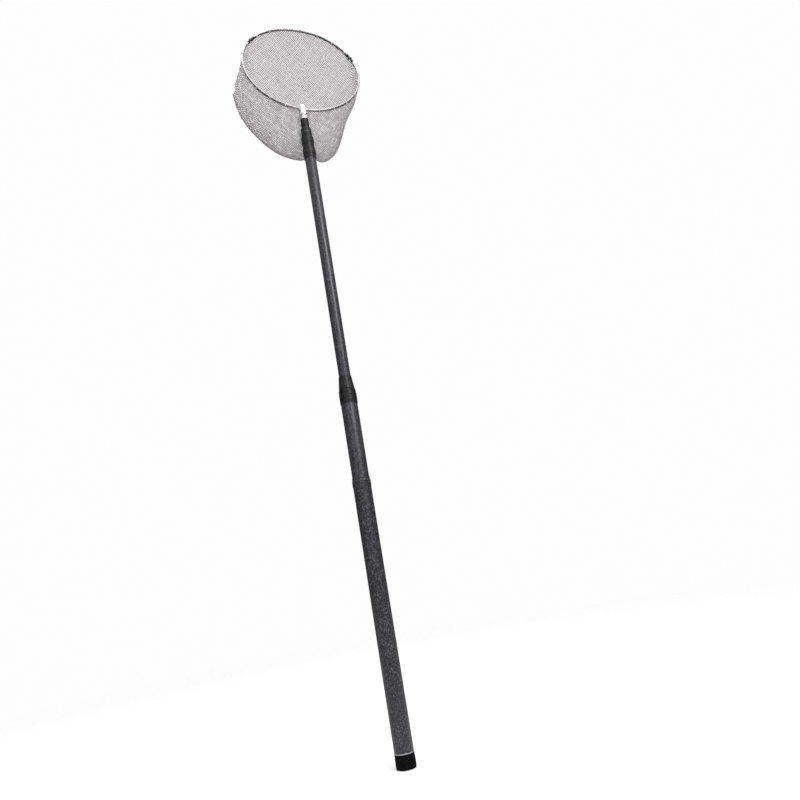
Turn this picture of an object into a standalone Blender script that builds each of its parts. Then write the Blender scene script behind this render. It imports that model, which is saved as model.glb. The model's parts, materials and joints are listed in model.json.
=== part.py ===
"""Leaf skimmer net: a telescoping pole with a folding wire hoop and a hanging mesh bag.

Metres, +Z up along the pole. The origin is the centre of the butt cap's end face. The hoop's
mouth faces -Y, the bag hangs behind it under gravity, and the hoop leans back and to one side
of the pole's line. The pole's middle section is drawn out and the ones above it are nested.
"""

import math

import bmesh
import bpy
from mathutils import Matrix, Vector

MM = 0.001
SIDES = 24  # facets round every turned piece
WIRE_SIDES = 8

# Driving dimensions of the hoop.
HOOP_RADIUS = 0.150
WIRE_RADIUS = 2.5 * MM
HOOP_FOOT_Z = 1.530  # where the pole's axis meets the hoop
LEAN_BACK = math.radians(14.4)
LEAN_ASIDE = math.radians(9.4)
HINGE_ANGLE = math.radians(120)  # hinges split the hoop into three equal arcs
WIRE_END = 8 * MM / HOOP_RADIUS  # angle between a hinge's pin and the wire's end
TANG_BEND_ANGLE = math.radians(5.2)  # where the hoop starts to bend down into its tangs
TANG_BEND_DROP = 6.5 * MM

# The two hinges. Each half is an eye round the pin and a sleeve over the wire's end.
LUG_BARREL_RADIUS = 4.0 * MM
LUG_SLEEVE_RADIUS = 3.5 * MM
LUG_SLEEVE_FROM = 7.0 * MM  # along the hoop from the pin
LUG_SLEEVE_TO = 14.5 * MM
LUG_GAP = 0.25 * MM
LUG_WIDTH = 3.8 * MM
PIN_RADIUS = 1.4 * MM
RIVET_HEAD_RADIUS = 2.7 * MM
RIVET_HEAD_HEIGHT = 1.0 * MM
HINGE_CLEARANCE = 0.4 * MM

# Driving dimensions of the pole: height, outer radius and inner radius of each tube.
BUTT_TUBE = (0.0056, 0.8040, 18.9 * MM, 17.4 * MM)
STAGE2_TUBE = (0.7350, 1.4160, 13.5 * MM, 12.4 * MM)
STAGE3_TUBE = (0.7700, 1.4465, 10.8 * MM, 9.8 * MM)
STAGE4_TUBE = (0.8000, 1.4710, 8.2 * MM, 7.4 * MM)
TIP_TUBE = (0.8400, 1.4856, 6.0 * MM, 5.0 * MM)
BUSH_LENGTH = 30 * MM

# Driving dimensions of what is on the pole: heights and outer radii.
CAP_RADIUS = 21.5 * MM
CAP_BORE = 19.3 * MM
CAP_TOP = 0.0296
GRIP_Z = (0.0330, 0.5800)
GRIP_RADIUS = 20.2 * MM
GRIP_FOOT_RADIUS = 20.9 * MM  # the grip swells towards the butt
TRIM_RADIUS = 21.4 * MM
BEAD_RADIUS = 20.9 * MM
LOCK_RADIUS = 20.0 * MM
LOCK_CONE_RADIUS = 18.4 * MM
LOCK_BASE_Z = (0.7750, 0.8058)
LOCK_CONE_Z = (0.8062, 0.8386)
LOCK_BORE = 14.0 * MM
NUT_Z = (1.5000, 1.5100)
NUT_RADIUS = 9.3 * MM
TOUCH_GAP = 0.3 * MM  # between pieces that rest on each other

# The connector between pole and hoop.
BLOCK_Z = (1.5105, 1.5385)
TANG_X = 6.8 * MM
TANG_FOOT_Z = 1.5138
STUD_RADIUS = 4.0 * MM
FLANGE_RADIUS = 10.8 * MM
FLANGE_HEIGHT = 7.0 * MM
BLOCK_WIDTH = 15.0 * MM
BLOCK_DEPTH = 12.0 * MM
BLOCK_CORNER = 2.5 * MM

# The bag. Its front and back panels meet in a hanging outline, left to right as (x, height).
BAG_SETBACK = 7.2 * MM  # of the bag's edge behind the plane of the hoop
BAG_THICKNESS = 1.6 * MM
SEAM_Y = 0.052
SEAM_OUTLINE = [
    (-0.158, 1.603),
    (-0.150, 1.552),
    (-0.120, 1.495),
    (-0.070, 1.443),
    (-0.012, 1.4205),
    (0.043, 1.4155),
    (0.078, 1.437),
    (0.100, 1.475),
    (0.122, 1.530),
    (0.152, 1.582),
    (0.170, 1.630),
]
NOTCH_X = 0.016  # where the pole lifts the bag's lower edge
NOTCH_RISE = 0.017
NOTCH_WIDTH = 0.017
BULGE_BACK = 0.034
BULGE_FRONT = 0.026
POLE_CLEARANCE = 13.0 * MM  # of the front panel from the pole's axis, and how much more lower down
POLE_CLEARANCE_MORE = 9.0 * MM
CLEARANCE_WIDTH = 0.024

HOOP = (
    Matrix.Translation((0, 0, HOOP_FOOT_Z))
    @ Matrix.Rotation(LEAN_ASIDE, 4, "Y")
    @ Matrix.Rotation(-LEAN_BACK, 4, "X")
)

PAINT = ("pole_paint", (0.045, 0.045, 0.052), 0.55, 0.0)
GRIP = ("grip_rubber", (0.035, 0.035, 0.040), 0.85, 0.0)
BLACK = ("black_plastic", (0.020, 0.020, 0.022), 0.45, 0.0)
STEEL = ("bright_steel", (0.75, 0.75, 0.76), 0.20, 1.0)
BRASS = ("brass", (0.72, 0.55, 0.26), 0.30, 1.0)
FOAM = ("foam", (0.10, 0.10, 0.11), 0.95, 0.0)
MESH = ("net_mesh", (0.52, 0.50, 0.51), 0.80, 0.0)


def clear_scene():
    for thing in list(bpy.data.objects):
        bpy.data.objects.remove(thing)


def material(finish):
    name, colour, roughness, metallic = finish
    found = bpy.data.materials.get(name)
    if found:
        return found
    made = bpy.data.materials.new(name)
    made.use_nodes = True
    shader = made.node_tree.nodes["Principled BSDF"]
    shader.inputs["Base Color"].default_value = (*colour, 1)
    shader.inputs["Roughness"].default_value = roughness
    shader.inputs["Metallic"].default_value = metallic
    return made


def add_object(name, data, finish, parent=None):
    made = bpy.data.objects.new(name, data)
    bpy.context.scene.collection.objects.link(made)
    made.data.materials.append(material(finish))
    made.parent = parent
    return made


def from_bmesh(name, bm, finish, parent=None):
    bm.normal_update()
    bmesh.ops.recalc_face_normals(bm, faces=bm.faces)
    mesh = bpy.data.meshes.new(name)
    bm.to_mesh(mesh)
    bm.free()
    mesh.shade_smooth()
    mesh.set_sharp_from_angle(angle=math.radians(35))
    return add_object(name, mesh, finish, parent)


def turned(name, outline, finish, parent=None, sides=SIDES, ribs=0, rib_depth=0.0, ribbed=(0, 0)):
    """Turns a closed (radius, height) outline round Z. Ribs raise every other facet edge of the
    outline's points whose heights lie in the ribbed span and whose radius is the outline's largest."""
    sides = 2 * ribs if ribs else sides
    widest = max(radius for radius, _ in outline)
    bm = bmesh.new()
    rings = []
    for radius, height in outline:
        if radius == 0:
            rings.append([bm.verts.new((0, 0, height))] * sides)
            continue
        ring = []
        for k in range(sides):
            angle = 2 * math.pi * k / sides
            raised = ribs and k % 2 and radius == widest and ribbed[0] <= height <= ribbed[1]
            reach = radius + (rib_depth if raised else 0)
            ring.append(bm.verts.new((reach * math.cos(angle), reach * math.sin(angle), height)))
        rings.append(ring)
    for low, high in zip(rings, rings[1:] + rings[:1]):
        for k in range(sides):
            corners = [low[k], low[(k + 1) % sides], high[(k + 1) % sides], high[k]]
            unique = list(dict.fromkeys(corners))
            if len(unique) > 2:
                bm.faces.new(unique)
    return from_bmesh(name, bm, finish, parent)


def tube(name, size, finish, parent):
    low, high, outer, inner = size
    return turned(name, [(inner, low), (outer, low), (outer, high), (inner, high)], finish, parent)


def foot_bush(name, tube_size, bore_radius, parent):
    """The slide bush round a section's lower end, which runs in the section below it."""
    low = tube_size[0]
    inner = tube_size[2] + TOUCH_GAP
    outer = bore_radius - TOUCH_GAP
    edge = 1.5 * MM
    outline = [
        (inner, low),
        (outer - edge / 8, low),
        (outer, low + edge),
        (outer, low + BUSH_LENGTH - edge),
        (outer - edge / 8, low + BUSH_LENGTH),
        (inner, low + BUSH_LENGTH),
    ]
    return turned(name, outline, BLACK, parent)


def end_ring(name, tube_size, steps, next_radius, parent):
    """The moulded ring over a section's upper end. Steps are (radius, low, high) from below, and
    a lip over the tube's end centres the next section."""
    inner = tube_size[2] + TOUCH_GAP
    lip = next_radius + 0.5 * MM
    edge = 1.2 * MM
    low, high = steps[0][1], steps[-1][2]
    outline = [(inner, low)]
    for radius, start, stop in steps:
        outline += [(radius - edge, start), (radius, start + edge)]
        outline += [(radius, stop - edge), (radius - edge, stop)]
    tube_top = tube_size[1] + TOUCH_GAP
    outline += [(lip, high), (lip, tube_top), (inner, tube_top)]
    return turned(name, outline, BLACK, parent)


def cylinder(name, radius, start, end, finish, parent=None, sides=16):
    """A closed cylinder from one point to another."""
    axis = end - start
    bm = bmesh.new()
    bmesh.ops.create_cone(
        bm, cap_ends=True, segments=sides, radius1=radius, radius2=radius, depth=axis.length
    )
    turn = axis.to_track_quat("Z", "Y").to_matrix().to_4x4()
    bm.transform(Matrix.Translation((start + end) / 2) @ turn)
    return from_bmesh(name, bm, finish, parent)


def cut(target, cutter):
    """Subtracts a cutter, which is then only a guide."""
    cutter.hide_render = True
    cutter.display_type = "WIRE"
    knife = target.modifiers.new("cut_" + cutter.name, "BOOLEAN")
    knife.operation = "DIFFERENCE"
    knife.solver = "EXACT"
    knife.object = cutter


def on_hoop(angle, radius=HOOP_RADIUS, back=0.0):
    """A point on the hoop: angle 0 is at the pole, and +-180 degrees is the far side."""
    local = (radius * math.sin(angle), back, HOOP_RADIUS - radius * math.cos(angle))
    return HOOP @ Vector(local)


def wire(name, points, parent):
    curve = bpy.data.curves.new(name, "CURVE")
    curve.dimensions = "3D"
    curve.bevel_depth = WIRE_RADIUS
    curve.bevel_resolution = WIRE_SIDES // 4
    curve.use_fill_caps = True
    spline = curve.splines.new("POLY")
    spline.points.add(len(points) - 1)
    for slot, point in zip(spline.points, points):
        slot.co = (*point, 1)
    return add_object(name, curve, STEEL, parent)


def arc_angles(start, stop, count):
    return [start + (stop - start) * k / (count - 1) for k in range(count)]


def side_wire(name, side, parent):
    """One side of the hoop: a third of the circle, bent down at the pole into a short tang."""
    foot = Vector((side * TANG_X, 0, TANG_FOOT_Z))
    bend_start = Vector((side * TANG_X, 0, HOOP_FOOT_Z - TANG_BEND_DROP))
    corner = Vector((side * TANG_X, 0, HOOP_FOOT_Z))
    bend_end = on_hoop(side * TANG_BEND_ANGLE)
    points = [foot]
    bend_steps = 5
    for k in range(bend_steps):
        t = k / bend_steps
        points.append(
            bend_start * (1 - t) ** 2 + corner * 2 * t * (1 - t) + bend_end * t**2
        )
    for angle in arc_angles(TANG_BEND_ANGLE, HINGE_ANGLE - WIRE_END, 22):
        points.append(on_hoop(side * angle))
    return wire(name, points, parent)


def front_wire(name, parent):
    start = HINGE_ANGLE + WIRE_END
    angles = arc_angles(start, 2 * math.pi - start, 24)
    return wire(name, [on_hoop(angle) for angle in angles], parent)


def hinge_lug(name, side, swings, parent):
    """Half of a hinge: an eye round the pin that tapers into the sleeve for the wire's end. The
    fixed half lies wholly outside the pin's middle plane and the swinging half wholly inside."""
    outward = side * (-1 if swings else 1)
    away = 1 if swings else -1  # along the hoop, towards the wire that the lug holds
    pin = Vector((side * HOOP_RADIUS * math.sin(HINGE_ANGLE), 0, 1.5 * HOOP_RADIUS))

    def along(distance):
        angle = HINGE_ANGLE + away * distance / HOOP_RADIUS
        x = side * HOOP_RADIUS * math.sin(angle)
        return Vector((x, 0, HOOP_RADIUS * (1 - math.cos(angle))))

    bm = bmesh.new()
    facets = 14
    for offset in (LUG_GAP, LUG_GAP + LUG_WIDTH):
        for k in range(facets):
            turn = 2 * math.pi * k / facets
            rim = Vector((outward * offset, math.cos(turn), math.sin(turn)))
            rim.yz *= LUG_BARREL_RADIUS
            bm.verts.new(pin + rim)
    for near, far in ((LUG_SLEEVE_FROM, LUG_SLEEVE_TO), (LUG_SLEEVE_TO, LUG_SLEEVE_FROM)):
        centre = along(near)
        axis = (along(far) - centre).normalized()
        across = axis.cross(Vector((0, 1, 0))).normalized()
        for k in range(facets):
            turn = 2 * math.pi * k / facets
            rim = across * math.cos(turn) + Vector((0, 1, 0)) * math.sin(turn)
            bm.verts.new(centre + rim * LUG_SLEEVE_RADIUS)
    bmesh.ops.convex_hull(bm, input=bm.verts)
    loose = [v for v in bm.verts if not v.link_faces]
    bmesh.ops.delete(bm, geom=loose, context="VERTS")
    bm.transform(HOOP)
    lug = from_bmesh(name, bm, BLACK, parent)

    reach = Vector((3 * LUG_WIDTH, 0, 0))
    bore_radius = PIN_RADIUS + HINGE_CLEARANCE
    bore = cylinder(name + "_pin_bore", bore_radius, HOOP @ (pin - reach), HOOP @ (pin + reach), BLACK)
    rivet_seat = cylinder(
        name + "_rivet_seat",
        RIVET_HEAD_RADIUS + HINGE_CLEARANCE,
        HOOP @ (pin + Vector((outward * (LUG_GAP + LUG_WIDTH), 0, 0))),
        HOOP @ (pin + outward * reach),
        BLACK,
    )
    socket = cylinder(
        name + "_wire_socket",
        WIRE_RADIUS + HINGE_CLEARANCE,
        HOOP @ along(WIRE_END * HOOP_RADIUS - HINGE_CLEARANCE),
        HOOP @ along(LUG_SLEEVE_TO + WIRE_RADIUS),
        BLACK,
    )
    cut(lug, bore)
    cut(lug, rivet_seat)
    cut(lug, socket)
    return lug


def hinge_rivet(name, side, parent):
    """A headed pin through one hinge, on the line that joins both hinges."""
    half = LUG_GAP + LUG_WIDTH + TOUCH_GAP
    head_radius, head_height = RIVET_HEAD_RADIUS, RIVET_HEAD_HEIGHT
    outline = [
        (0, -half - head_height),
        (head_radius * 0.7, -half - head_height),
        (head_radius, -half - head_height * 0.4),
        (head_radius, -half),
        (PIN_RADIUS, -half),
        (PIN_RADIUS, half),
        (head_radius, half),
        (head_radius, half + head_height * 0.4),
        (head_radius * 0.7, half + head_height),
        (0, half + head_height),
    ]
    rivet = turned(name, outline, BLACK, parent, sides=12)
    centre = Matrix.Translation((side * HOOP_RADIUS * math.sin(HINGE_ANGLE), 0, 1.5 * HOOP_RADIUS))
    rivet.data.transform(HOOP @ centre @ Matrix.Rotation(math.pi / 2, 4, "Y"))
    return rivet


def connector_block(name, parent):
    """A bright block with a round flange. The hoop's tangs stand in grooves down its sides, with
    their feet in blind holes in the flange, and the stud is fixed in its underside."""
    low, high = BLOCK_Z
    flange_top = low + FLANGE_HEIGHT
    edge = 0.8 * MM
    flange = turned(
        name,
        [
            (0, low),
            (FLANGE_RADIUS - edge, low),
            (FLANGE_RADIUS, low + edge),
            (FLANGE_RADIUS, flange_top - edge),
            (FLANGE_RADIUS - edge, flange_top),
            (0, flange_top),
        ],
        STEEL,
        parent,
    )
    bm = bmesh.new()
    bmesh.ops.create_cube(bm, size=1)
    body_low = low + 2 * MM
    size = Matrix.Diagonal((BLOCK_WIDTH, BLOCK_DEPTH, high - body_low, 1))
    bm.transform(Matrix.Translation((0, 0, (body_low + high) / 2)) @ size)
    upright = [e for e in bm.edges if abs((e.verts[0].co - e.verts[1].co).z) > 1 * MM]
    bmesh.ops.bevel(bm, geom=upright, offset=BLOCK_CORNER, segments=3, affect="EDGES", profile=0.5)
    rim = [e for e in bm.edges if min(v.co.z for v in e.verts) > high - 0.1 * MM]
    bmesh.ops.bevel(bm, geom=rim, offset=1.2 * MM, segments=2, affect="EDGES", profile=0.5)
    body = from_bmesh(name + "_body", bm, STEEL)
    body.hide_render = True
    body.display_type = "WIRE"
    join = flange.modifiers.new("join_body", "BOOLEAN")
    join.operation = "UNION"
    join.solver = "EXACT"
    join.object = body
    for side in (-1, 1):
        top = Vector((side * TANG_X, 0, high + 5 * MM))
        foot = Vector((side * TANG_X, 0, TANG_FOOT_Z - 0.4 * MM))
        groove = cylinder(f"{name}_groove_{side + 1}", WIRE_RADIUS + 0.4 * MM, foot, top, STEEL)
        cut(flange, groove)
    socket = cylinder(
        name + "_stud_socket",
        STUD_RADIUS + TOUCH_GAP,
        Vector((0, 0, low - 2 * MM)),
        Vector((0, 0, low + 9.2 * MM)),
        STEEL,
    )
    cut(flange, socket)
    return flange


def smooth_step(low, high, value):
    t = min(1.0, max(0.0, (value - low) / (high - low)))
    return t * t * (3 - 2 * t)


def outline_height(x):
    """The outline's height at x: a cubic through each pair of points, with each point's slope
    that of the line between its neighbours."""
    last = len(SEAM_OUTLINE) - 1
    k = max(i for i in range(last) if i == 0 or SEAM_OUTLINE[i][0] <= x)

    def slope(i):
        before, after = SEAM_OUTLINE[max(i - 1, 0)], SEAM_OUTLINE[min(i + 1, last)]
        return (after[1] - before[1]) / (after[0] - before[0])

    (x0, z0), (x1, z1) = SEAM_OUTLINE[k], SEAM_OUTLINE[k + 1]
    t = (x - x0) / (x1 - x0)
    bend = (x1 - x0) * (slope(k) * t * (1 - t) ** 2 - slope(k + 1) * t**2 * (1 - t))
    return z0 + (z1 - z0) * t * t * (3 - 2 * t) + bend


def seam_point(across):
    """A point of the seam, from -1 at its left end to 1 at its right end. The pole presses on
    the bag and lifts the seam a little behind it."""
    left, right = SEAM_OUTLINE[0][0], SEAM_OUTLINE[-1][0]
    x = left + (right - left) * (across + 1) / 2
    lift = NOTCH_RISE * math.exp(-(((x - NOTCH_X) / NOTCH_WIDTH) ** 2))
    return Vector((x, SEAM_Y, outline_height(x) + lift))


def bag_point(angle, share):
    """A point of the bag: share 0 is its edge at the hoop, and share 1 its seam. The panels part
    in a sine bulge that turns round at the seam, and the front one stays behind the pole."""
    edge = on_hoop(angle, back=BAG_SETBACK)
    seam = seam_point(math.sin(angle))
    fall = math.sin(share * math.pi / 2)
    point = edge.lerp(seam, fall)
    backward = -math.cos(angle)
    bulge = BULGE_BACK if backward > 0 else BULGE_FRONT
    point.y += backward * bulge * math.sin(math.pi * share)
    groove = POLE_CLEARANCE + POLE_CLEARANCE_MORE * (1 - smooth_step(1.452, 1.512, point.z))
    wall = groove * math.exp(-((point.x / CLEARANCE_WIDTH) ** 2))
    near_pole = 1 - smooth_step(1.545, 1.580, point.z)
    if near_pole > 0 and backward < 0.5:
        soft = 4 * MM
        pushed = 0.5 * (point.y + wall + math.hypot(point.y - wall, soft))
        point.y += (pushed - point.y) * near_pole
    return point


def net_bag(name, parent):
    around, down = 48, 10
    bm = bmesh.new()
    rows = []
    for j in range(down + 1):
        row = []
        for i in range(around):
            angle = 2 * math.pi * i / around
            row.append(bm.verts.new(bag_point(angle, j / down)))
        rows.append(row)
    for upper, lower in zip(rows, rows[1:]):
        for i in range(around):
            nxt = (i + 1) % around
            bm.faces.new((upper[i], lower[i], lower[nxt], upper[nxt]))
    bmesh.ops.remove_doubles(bm, verts=bm.verts, dist=0.05 * MM)
    bag = from_bmesh(name, bm, MESH, parent)
    wall = bag.modifiers.new("wall", "SOLIDIFY")
    wall.thickness = BAG_THICKNESS
    wall.offset = 0
    return bag


def build_butt(parent):
    tube("butt_tube", BUTT_TUBE, PAINT, parent)
    outer = BUTT_TUBE[2]
    snug = outer + TOUCH_GAP
    turned(
        "grip_sleeve",
        [
            (snug, GRIP_Z[0]),
            (GRIP_FOOT_RADIUS - 0.2 * MM, GRIP_Z[0]),
            (GRIP_FOOT_RADIUS, GRIP_Z[0] + 1 * MM),
            (GRIP_FOOT_RADIUS, GRIP_Z[0] + 80 * MM),
            (GRIP_RADIUS, GRIP_Z[1] - 180 * MM),
            (GRIP_RADIUS, GRIP_Z[1]),
            (snug, GRIP_Z[1]),
        ],
        GRIP,
        parent,
    )
    turned(
        "grip_end_ring",
        [
            (snug, 0.5803),
            (BEAD_RADIUS - 0.6 * MM, 0.5803),
            (BEAD_RADIUS, 0.5850),
            (BEAD_RADIUS, 0.5975),
            (BEAD_RADIUS - 1.0 * MM, 0.6040),
            (snug, 0.6060),
        ],
        BLACK,
        parent,
    )
    turned(
        "trim_ring",
        [
            (snug, 0.0300),
            (TRIM_RADIUS - 0.2 * MM, 0.0300),
            (TRIM_RADIUS, 0.0312),
            (TRIM_RADIUS - 0.2 * MM, 0.0326),
            (snug, 0.0326),
        ],
        STEEL,
        parent,
    )
    turned(
        "plug_insert_ring",
        [(15.4 * MM, 0.0080), (17.0 * MM, 0.0080), (17.0 * MM, 0.0290), (15.4 * MM, 0.0290)],
        BLACK,
        parent,
    )
    turned(
        "section_bumper",
        [
            (0, 0.0300),
            (16.8 * MM, 0.0300),
            (16.8 * MM, 0.0420),
            (14.5 * MM, 0.0445),
            (0, 0.0445),
        ],
        FOAM,
        parent,
    )
    turned(
        "lock_base_ring",
        [
            (snug, LOCK_BASE_Z[0]),
            (LOCK_RADIUS - 0.4 * MM, LOCK_BASE_Z[0]),
            (LOCK_RADIUS, 0.7765),
            (LOCK_RADIUS, 0.7960),
            (LOCK_RADIUS - 0.4 * MM, 0.7975),
            (LOCK_RADIUS - 0.4 * MM, LOCK_BASE_Z[1]),
            (snug, LOCK_BASE_Z[1]),
        ],
        BLACK,
        parent,
    )
    turned(
        "guide_bush",
        [(LOCK_BORE, 0.7665), (17.0 * MM, 0.7665), (17.0 * MM, BUTT_TUBE[1]), (LOCK_BORE, BUTT_TUBE[1])],
        BLACK,
        parent,
    )
    collet = turned(
        "lock_collet",
        [
            (LOCK_BORE - 0.1 * MM, 0.8062),
            (16.2 * MM, 0.8062),
            (16.2 * MM, 0.8100),
            (14.5 * MM, 0.8300),
            (LOCK_BORE - 0.1 * MM, 0.8300),
        ],
        BLACK,
        parent,
    )
    slots = 4
    for k in range(slots // 2):
        turn = math.pi * k / (slots // 2)
        bm = bmesh.new()
        bmesh.ops.create_cube(bm, size=1)
        shape = Matrix.Diagonal((60 * MM, 1.2 * MM, 18 * MM, 1))
        lift = Matrix.Translation((0, 0, 0.8132 + 9 * MM))
        bm.transform(Matrix.Rotation(turn + math.radians(20), 4, "Z") @ lift @ shape)
        slot = from_bmesh(f"collet_slot_{k}", bm, BLACK)
        cut(collet, slot)


def build_butt_cap(parent):
    turned(
        "butt_cap",
        [
            (0, 0),
            (CAP_RADIUS - 3.0 * MM, 0),
            (CAP_RADIUS - 0.8 * MM, 0.0010),
            (CAP_RADIUS, 0.0035),
            (CAP_RADIUS, 0.0240),
            (CAP_RADIUS - 0.4 * MM, CAP_TOP),
            (CAP_BORE, CAP_TOP),
            (CAP_BORE, 0.0050),
            (0, 0.0050),
        ],
        GRIP,
        parent,
        ribs=20,
        rib_depth=0.35 * MM,
        ribbed=(0.0035, 0.0240),
    )
    turned(
        "cap_plug",
        [
            (0, 0.0053),
            (14.9 * MM, 0.0053),
            (14.9 * MM, 0.0275),
            (12.9 * MM, 0.0275),
            (12.9 * MM, 0.0085),
            (0, 0.0085),
        ],
        BLACK,
        parent,
    )


def build_lock_cone(parent):
    turned(
        "lock_cone",
        [
            (17.2 * MM, LOCK_CONE_Z[0]),
            (LOCK_CONE_RADIUS - 0.1 * MM, LOCK_CONE_Z[0]),
            (LOCK_CONE_RADIUS, 0.8080),
            (17.9 * MM, 0.8130),
            (16.8 * MM, 0.8220),
            (15.5 * MM, 0.8320),
            (14.9 * MM, LOCK_CONE_Z[1]),
            (LOCK_BORE, LOCK_CONE_Z[1]),
            (LOCK_BORE, 0.8345),
            (14.8 * MM, 0.8320),
            (16.9 * MM, 0.8110),
            (17.2 * MM, 0.8100),
        ],
        BLACK,
        parent,
    )


def build_stages(parents):
    tube("stage2_tube", STAGE2_TUBE, PAINT, parents["stage2"])
    foot_bush("stage2_foot_bush", STAGE2_TUBE, BUTT_TUBE[3], parents["stage2"])
    end_ring(
        "stage2_end_ring",
        STAGE2_TUBE,
        [(14.9 * MM, 1.3920, 1.4020), (15.8 * MM, 1.4020, 1.4180)],
        STAGE3_TUBE[2],
        parents["stage2"],
    )
    tube("stage3_tube", STAGE3_TUBE, PAINT, parents["stage3"])
    foot_bush("stage3_foot_bush", STAGE3_TUBE, STAGE2_TUBE[3], parents["stage3"])
    end_ring(
        "stage3_end_ring",
        STAGE3_TUBE,
        [(13.8 * MM, 1.4183, 1.4330), (15.1 * MM, 1.4330, 1.4485)],
        STAGE4_TUBE[2],
        parents["stage3"],
    )
    tube("stage4_tube", STAGE4_TUBE, PAINT, parents["stage4"])
    foot_bush("stage4_foot_bush", STAGE4_TUBE, STAGE3_TUBE[3], parents["stage4"])
    end_ring(
        "stage4_end_ring",
        STAGE4_TUBE,
        [(12.0 * MM, 1.4488, 1.4540), (12.8 * MM, 1.4540, 1.4730)],
        TIP_TUBE[2],
        parents["stage4"],
    )


def build_tip(parent):
    tube("tip_tube", TIP_TUBE, PAINT, parent)
    foot_bush("tip_foot_bush", TIP_TUBE, STAGE4_TUBE[3], parent)
    inner = TIP_TUBE[2] + TOUCH_GAP
    turned(
        "tip_ferrule",
        [
            (inner, 1.4733),
            (9.0 * MM, 1.4733),
            (9.3 * MM, 1.4745),
            (9.3 * MM, 1.4800),
            (10.0 * MM, 1.4830),
            (10.0 * MM, 1.4985),
            (9.4 * MM, 1.4996),
            (inner, 1.4996),
        ],
        BLACK,
        parent,
    )
    turned(
        "thread_insert",
        [(4.5 * MM, 1.4860), (TIP_TUBE[2], 1.4860), (TIP_TUBE[2], 1.4994), (4.5 * MM, 1.4994)],
        BRASS,
        parent,
    )


def build_lock_nut(parent):
    turned(
        "lock_nut",
        [
            (4.5 * MM, NUT_Z[0]),
            (NUT_RADIUS - 0.5 * MM, NUT_Z[0]),
            (NUT_RADIUS, NUT_Z[0] + 1.2 * MM),
            (NUT_RADIUS, NUT_Z[1] - 1.2 * MM),
            (NUT_RADIUS - 0.5 * MM, NUT_Z[1]),
            (4.5 * MM, NUT_Z[1]),
        ],
        STEEL,
        parent,
        ribs=16,
        rib_depth=0.5 * MM,
        ribbed=NUT_Z,
    )


def build_head(parent):
    cylinder(
        "head_stud", STUD_RADIUS, Vector((0, 0, 1.4880)), Vector((0, 0, 1.5190)), STEEL, parent
    )
    connector_block("connector_block", parent)
    side_wire("left_wire", -1, parent)
    side_wire("right_wire", 1, parent)
    hinge_lug("left_fixed_lug", -1, False, parent)
    hinge_lug("right_fixed_lug", 1, False, parent)
    hinge_rivet("left_hinge_rivet", -1, parent)
    hinge_rivet("right_hinge_rivet", 1, parent)
    net_bag("net_bag", parent)


def build_front_arc(parent):
    front_wire("front_wire", parent)
    hinge_lug("left_swing_lug", -1, True, parent)
    hinge_lug("right_swing_lug", 1, True, parent)


def joint_empty(name, matrix, parent=None):
    """An empty at a moving body's joint. The body's pieces are its children."""
    made = bpy.data.objects.new(name, None)
    bpy.context.scene.collection.objects.link(made)
    made.parent = parent
    made.matrix_world = matrix
    return made


def keep_place(empties):
    """Lets each piece, made in the row's frame, hang on its joint's empty without moving."""
    bpy.context.view_layer.update()
    for empty in empties.values():
        for child in empty.children:
            child.matrix_parent_inverse = empty.matrix_world.inverted()


def main():
    clear_scene()
    on_axis = Matrix.Identity(4)
    fold = HOOP @ Matrix.Translation((0, 0, 1.5 * HOOP_RADIUS))
    empties = {name: joint_empty(name + "_axis", on_axis) for name in
               ("butt", "butt_cap", "lock_cone", "stage2", "stage3", "stage4", "tip", "lock_nut", "head")}
    empties["front_arc"] = joint_empty("front_arc_axis", fold)
    build_butt(empties["butt"])
    build_butt_cap(empties["butt_cap"])
    build_lock_cone(empties["lock_cone"])
    build_stages(empties)
    build_tip(empties["tip"])
    build_lock_nut(empties["lock_nut"])
    build_head(empties["head"])
    build_front_arc(empties["front_arc"])
    keep_place(empties)


main()
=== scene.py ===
"""Looks of a leaf skimmer net: a telescoping pole, a folding wire hoop and a hanging bag of net.

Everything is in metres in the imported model's frame: +Z runs up the pole, the hoop's mouth faces
-Y and the bag hangs behind it. Each surface is worked out as an array of points from a formula.
"""

import json
import math

import bpy
import numpy as np
from mathutils import Matrix, Vector

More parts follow.
